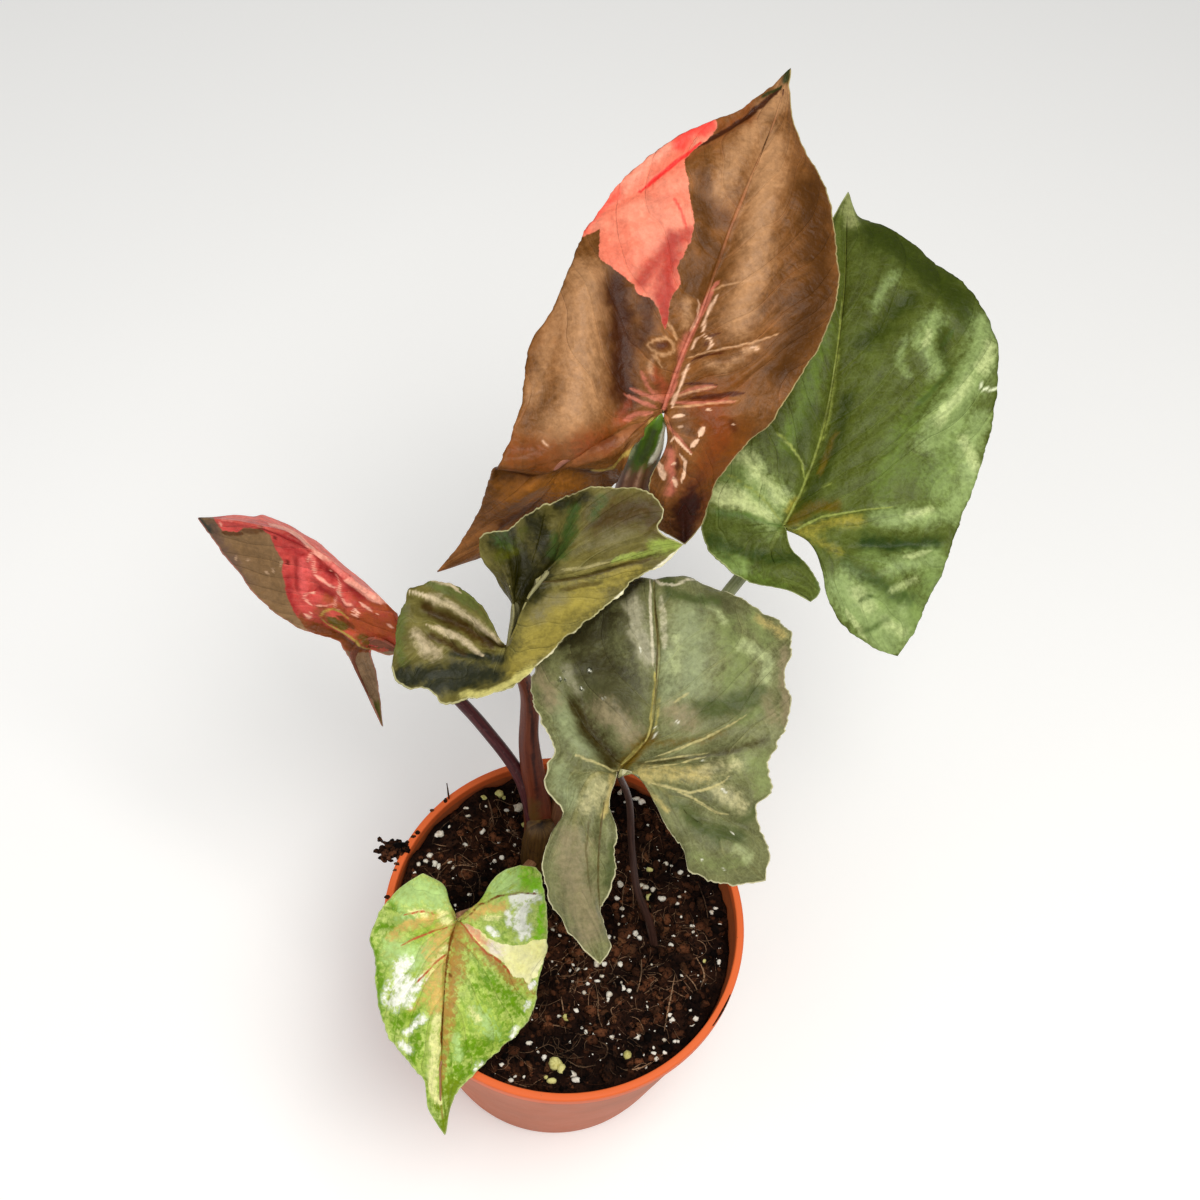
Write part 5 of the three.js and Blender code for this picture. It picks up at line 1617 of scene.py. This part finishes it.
perlite = {
    "scale": 0.165, "pelletScale": 0.132, "lift": 0.2, "count": 300, "sizes": (0.15, 0.2, 0.3, 0.5),
    "white": (246, 240, 226), "shade": (184, 168, 142),
    "feed": (222, 216, 140), "old": (164, 154, 66),
    "seen": [(519, 807, 9), (529, 810, 7), (507, 811, 6), (482, 832, 6), (465, 845, 5), (431, 829, 6),
        (435, 834, 4), (430, 856, 6), (434, 864, 5), (438, 868, 6), (427, 861, 5), (450, 862, 5),
        (453, 868, 4), (468, 816, 4), (461, 804, 4), (486, 808, 3), (449, 826, 3), (494, 862, 4),
        (502, 857, 4), (499, 843, 3), (408, 856, 4), (410, 870, 3), (470, 895, 3), (641, 886, 6),
        (646, 887, 5), (620, 884, 5), (661, 898, 7), (653, 890, 4), (665, 863, 5), (681, 873, 4),
        (622, 909, 4), (617, 898, 4), (640, 791, 7), (645, 798, 7), (632, 806, 4), (629, 778, 7),
        (604, 936, 5), (609, 938, 5), (627, 936, 4), (636, 934, 6), (640, 938, 4), (596, 964, 6),
        (604, 965, 5), (620, 965, 6), (586, 970, 5), (577, 970, 4), (573, 965, 3), (570, 971, 3),
        (588, 984, 6), (590, 979, 3), (584, 992, 4), (572, 982, 3), (597, 981, 3), (602, 976, 4),
        (623, 988, 5), (629, 991, 4), (609, 995, 4), (608, 999, 3), (576, 1011, 4), (560, 1017, 4),
        (606, 1023, 6), (586, 1033, 5), (612, 1038, 7), (636, 1036, 7), (594, 1034, 3), (570, 1042, 3),
        (544, 1057, 5), (571, 1075, 7), (576, 1081, 6), (671, 946, 5), (683, 949, 5), (682, 976, 4),
        (670, 1015, 5), (672, 1020, 6), (658, 1005, 3), (691, 998, 3), (690, 1010, 3), (702, 1022, 4),
        (700, 1028, 4), (722, 963, 4), (727, 962, 4), (722, 950, 3), (712, 912, 5), (716, 909, 4),
        (721, 925, 3), (707, 922, 3), (692, 926, 3), (693, 932, 3), (677, 904, 4), (680, 897, 3),
        (687, 894, 3), (681, 917, 3), (653, 1054, 5), (665, 1055, 4), (658, 1062, 5), (665, 1040, 3),
        (675, 1042, 3), (683, 1047, 3), (627, 924, 4), (623, 917, 3), (560, 935, 3), (553, 929, 3),
        (567, 937, 3), (502, 1065, 4), (530, 1043, 5), (535, 1048, 5), (516, 1078, 5), (511, 1081, 4),
        (538, 1052, 3)],
    "pellets": [(498, 795, 10), (504, 798, 6), (484, 798, 6), (524, 825, 7), (529, 820, 5), (649, 898, 8),
        (651, 907, 4), (650, 869, 7), (566, 1018, 9), (628, 1056, 12), (555, 1064, 12), (561, 1070, 10),
        (552, 1082, 8), (546, 1078, 5), (704, 961, 4)],
}


def grainMaterial(name, pale, dull):
    shader = Shader(name)
    where = shader.place()
    spot = shader.noise(where, 1300.0, 4.0, 0.6)
    colour = shader.blend(shader.smooth(spot + shader.attribute("shade"), 0.4, 0.9), pale, dull)
    return shader.finish({
        "Base Color": colour,
        "Roughness": 0.7 + 0.2 * spot,
        "Normal": shader.bump(spot, 0.0004, 0.8),
    })


def makeGrains():
    chance = random.Random(5)
    lift = perlite["lift"]
    white = Heap()
    for x, y, size in perlite["seen"]:
        white.add(lump, chance, onSoil(x, y, lift), size * perlite["scale"], 0.75, 2, 0.42)
    for i in range(perlite["count"]):
        white.add(lump, chance, anySpot(chance, soil["reach"]), chance.choice(perlite["sizes"]), 0.8)
    white.keep("soil_perlite", grainMaterial("perlite", perlite["white"], perlite["shade"]))
    feed = Heap()
    for x, y, size in perlite["pellets"]:
        feed.add(lump, chance, onSoil(x, y, lift), size * perlite["pelletScale"], 0.85, 2)
    feed.keep("soil_pellets", grainMaterial("pellets", perlite["feed"], perlite["old"]))


# Roots and fibres. Each that shows is a radius and points, across and down.

fibres = {
    "count": 640, "thickness": (0.06, 0.12), "length": (3, 16), "lift": (0.5, 1.2), "rise": (-0.5, 1.3),
    "sunk": -0.2, "bend": 0.9, "steps": 9, "sides": 5, "dark": (74, 44, 30), "light": (186, 146, 112),
    "seen": [(0.16, 541, 978, 560, 962, 579, 944), (0.2, 595, 984, 598, 1000, 598, 1016, 604, 1033),
        (0.16, 657, 950, 648, 964, 643, 973), (0.22, 641, 957, 641, 975, 637, 993),
        (0.24, 644, 995, 655, 988, 670, 987, 684, 978, 697, 975), (0.16, 680, 978, 692, 993),
        (0.2, 672, 991, 682, 997, 692, 998), (0.22, 546, 1025, 565, 1028, 582, 1036),
        (0.2, 560, 1035, 576, 1034, 592, 1046, 612, 1050), (0.2, 623, 1070, 640, 1075, 657, 1073),
        (0.26, 664, 1032, 668, 1010, 672, 990, 675, 974), (0.2, 653, 1024, 660, 1006, 670, 996),
        (0.26, 698, 884, 705, 905, 709, 927), (0.2, 561, 998, 564, 1016), (0.2, 409, 863, 426, 868),
        (0.34, 488, 800, 492, 815, 494, 829), (0.26, 598, 1042, 607, 1047, 605, 1058, 598, 1060),
        (0.2, 607, 985, 618, 976, 628, 984), (0.2, 640, 900, 652, 925, 664, 944),
        (0.3, 696, 958, 704, 975, 700, 990), (0.2, 700, 1000, 694, 985, 680, 970),
        (0.2, 566, 1060, 580, 1068, 596, 1066), (0.16, 452, 868, 462, 866, 474, 868)],
}


def strand(bm, chance, spots, thickness):
    layer = bm.verts.layers.float["shade"]
    steps = fibres["steps"]
    sizes = [thickness * mm * (0.35 + 0.65 * math.sin(math.pi * min(max(i / steps, 0.12), 0.88)))
             for i in range(steps + 1)]
    sweep(bm, Path([spot / mm for spot in spots], 6).steps(steps), sizes, fibres["sides"])
    shade = chance.uniform(-0.3, 0.3)
    for vert in bm.verts:
        vert[layer] = shade


def makeFibres():
    chance = random.Random(37)
    heap = Heap()
    for thickness, *numbers in fibres["seen"]:
        spots = [onSoil(x, y, chance.uniform(*fibres["lift"])) for x, y in pairs(numbers)]
        heap.add(strand, chance, spots, thickness)
    for i in range(fibres["count"]):
        start = anySpot(chance, soil["reach"] - 2)
        turn = chance.uniform(0, fullTurn)
        long = chance.uniform(*fibres["length"])
        spots = []
        for k in range(4):
            x = start.x / mm + long * k / 3 * math.cos(turn)
            y = start.y / mm + long * k / 3 * math.sin(turn)
            inside = min(1, (soil["reach"] - 0.5) / max(math.hypot(x, y), 1))
            rise = chance.uniform(*fibres["rise"]) if 0 < k < 3 else fibres["sunk"]
            spots.append(Vector((x * inside, y * inside, soilTop(x * inside, y * inside) + rise)) * mm)
            turn += chance.uniform(-fibres["bend"], fibres["bend"])
        if (spots[-1] - spots[-2]).length > 0.3 * mm:
            heap.add(strand, chance, spots, chance.uniform(*fibres["thickness"]))
    heap.keep("soil_fibres", soilMaterial("rootFibres", fibres["dark"], fibres["light"], 0.6))


# Mix spilt on the lip, where it shows. A crumb ends with its size, and a point of the twig with its height.

spill = {
    "seen": [(446, 801, 0.7), (432, 811, 0.6), (417, 832, 0.7), (413, 836, 0.6), (397, 864, 0.6),
        (395, 870, 0.6), (388, 897, 0.7), (404, 848, 0.9), (400, 846, 1.1), (397, 849, 1.0),
        (404, 842, 0.7), (401, 852, 0.8)],
    "strands": [(404, 848, 397, 844, 390, 841, 381, 838), (403, 850, 396, 851, 389, 852, 380, 854),
        (402, 846, 395, 846, 388, 848, 382, 847), (405, 852, 398, 854, 391, 856, 385, 853)],
    "edge": [(733, 996), (729, 1005), (723, 1013), (715, 1020), (709, 1023)],
    "twig": [(449, 799, -3), (449, 799, 0), (448, 792, 1), (447, 786, 2)],
    "radius": 0.3, "strandRadius": 0.35,
}


def onLip(x, y, lift=0):
    return pointBehind(x, y, pot["height"]) + Vector((0, 0, lift * mm))


def makeSpill():
    chance = random.Random(3)
    heap = Heap()
    # each crumb lies on the lip's flat top
    inner, outer = (pot["rim"] - pot["lipThickness"] + 0.2) * mm, (pot["rim"] - 0.3) * mm
    for x, y, size in spill["seen"]:
        spot = onLip(x, y)
        out = spot.xy.length
        spot.xy *= min(max(out, inner), outer) / out
        for i in range(2):
            away = Vector((chance.uniform(-0.4, 0.4), chance.uniform(-0.4, 0.4), 0)) * mm * size
            heap.add(lump, chance, spot + away, size * chance.uniform(0.6, 1.0), 0.35, 2, 0.6)
    for numbers in spill["strands"]:
        spots = [onLip(x, y, 0.2 - 0.35 * i * i) for i, (x, y) in enumerate(pairs(numbers))]
        heap.add(strand, chance, spots, spill["strandRadius"])
        for spot in spots * 4:
            away = Vector([chance.uniform(-1.0, 1.0) for i in range(3)]) * mm
            heap.add(lump, chance, spot + away, chance.uniform(0.4, 1.0), 0.8, 2, 0.6)
    # a scraping of mix dried on the lip's outer edge
    edge = [onLip(x, y) for x, y in spill["edge"]]
    for spot in edge:
        spot.xy *= (pot["rim"] - 0.25) * mm / spot.xy.length
    heap.add(strand, chance, edge, spill["radius"])
    heap.add(strand, chance, [onLip(*place) for place in spill["twig"]], spill["radius"])
    heap.keep("soil_spill", soilMaterial("spiltMix", soil["black"], soil["brown"]))


makeSoil()
makeCrumbs()
makeChips()
makeGrains()
makeFibres()
makeSpill()
print("potting mix made")

# Floor and lights, in metres

studio = {
    "floor": (249.31, 249.31, 248.15), "worn": (238.61, 238.61, 237.39), "size": 4, "glow": 0.18,
    "sky": 0.3, "aim": (0, 0.04, 0.12),
    "key": {"place": (0.22, -0.16, 0.95), "size": 0.5, "power": 6.0, "colour": (1, 0.98, 0.94)},
    "fill": {"place": (-0.6, -0.5, 0.8), "size": 0.8, "power": 2.6, "colour": (1, 1, 1)},
}


def addFloor():
    shader = Shader("floorPaint")
    where = shader.place()
    tone = shader.noise(where, 3.0, 2.0)
    shade = shader.blend(tone * 0.25, studio["floor"], studio["worn"])
    material = shader.finish({
        "Base Color": shade,
        "Roughness": 0.9,
        "Emission Color": shade,
        "Emission Strength": studio["glow"],
    })
    bm = bmesh.new()
    bmesh.ops.create_grid(bm, x_segments=1, y_segments=1, size=studio["size"])
    floor = keepMesh(bm, "floor", material)


def addLight(name):
    look = studio[name]
    data = bpy.data.lights.new(name, "AREA")
    data.shape = "SQUARE"
    data.size = look["size"]
    data.energy = look["power"]
    data.color = look["colour"]
    light = bpy.data.objects.new(name, data)
    bpy.context.scene.collection.objects.link(light)
    light.location = look["place"]
    aim = Vector(studio["aim"]) - Vector(look["place"])
    light.rotation_euler = aim.to_track_quat("-Z", "Y").to_euler()


def addStudio():
    world = bpy.data.worlds.new("studio")
    world.use_nodes = True
    sky = world.node_tree.nodes["Background"]
    sky.inputs["Color"].default_value = (1, 1, 1, 1)
    sky.inputs["Strength"].default_value = studio["sky"]
    bpy.context.scene.world = world
    bpy.context.scene.view_settings.view_transform = "Standard"
    addLight("key")
    addLight("fill")


addFloor()
addStudio()
print("studio set")
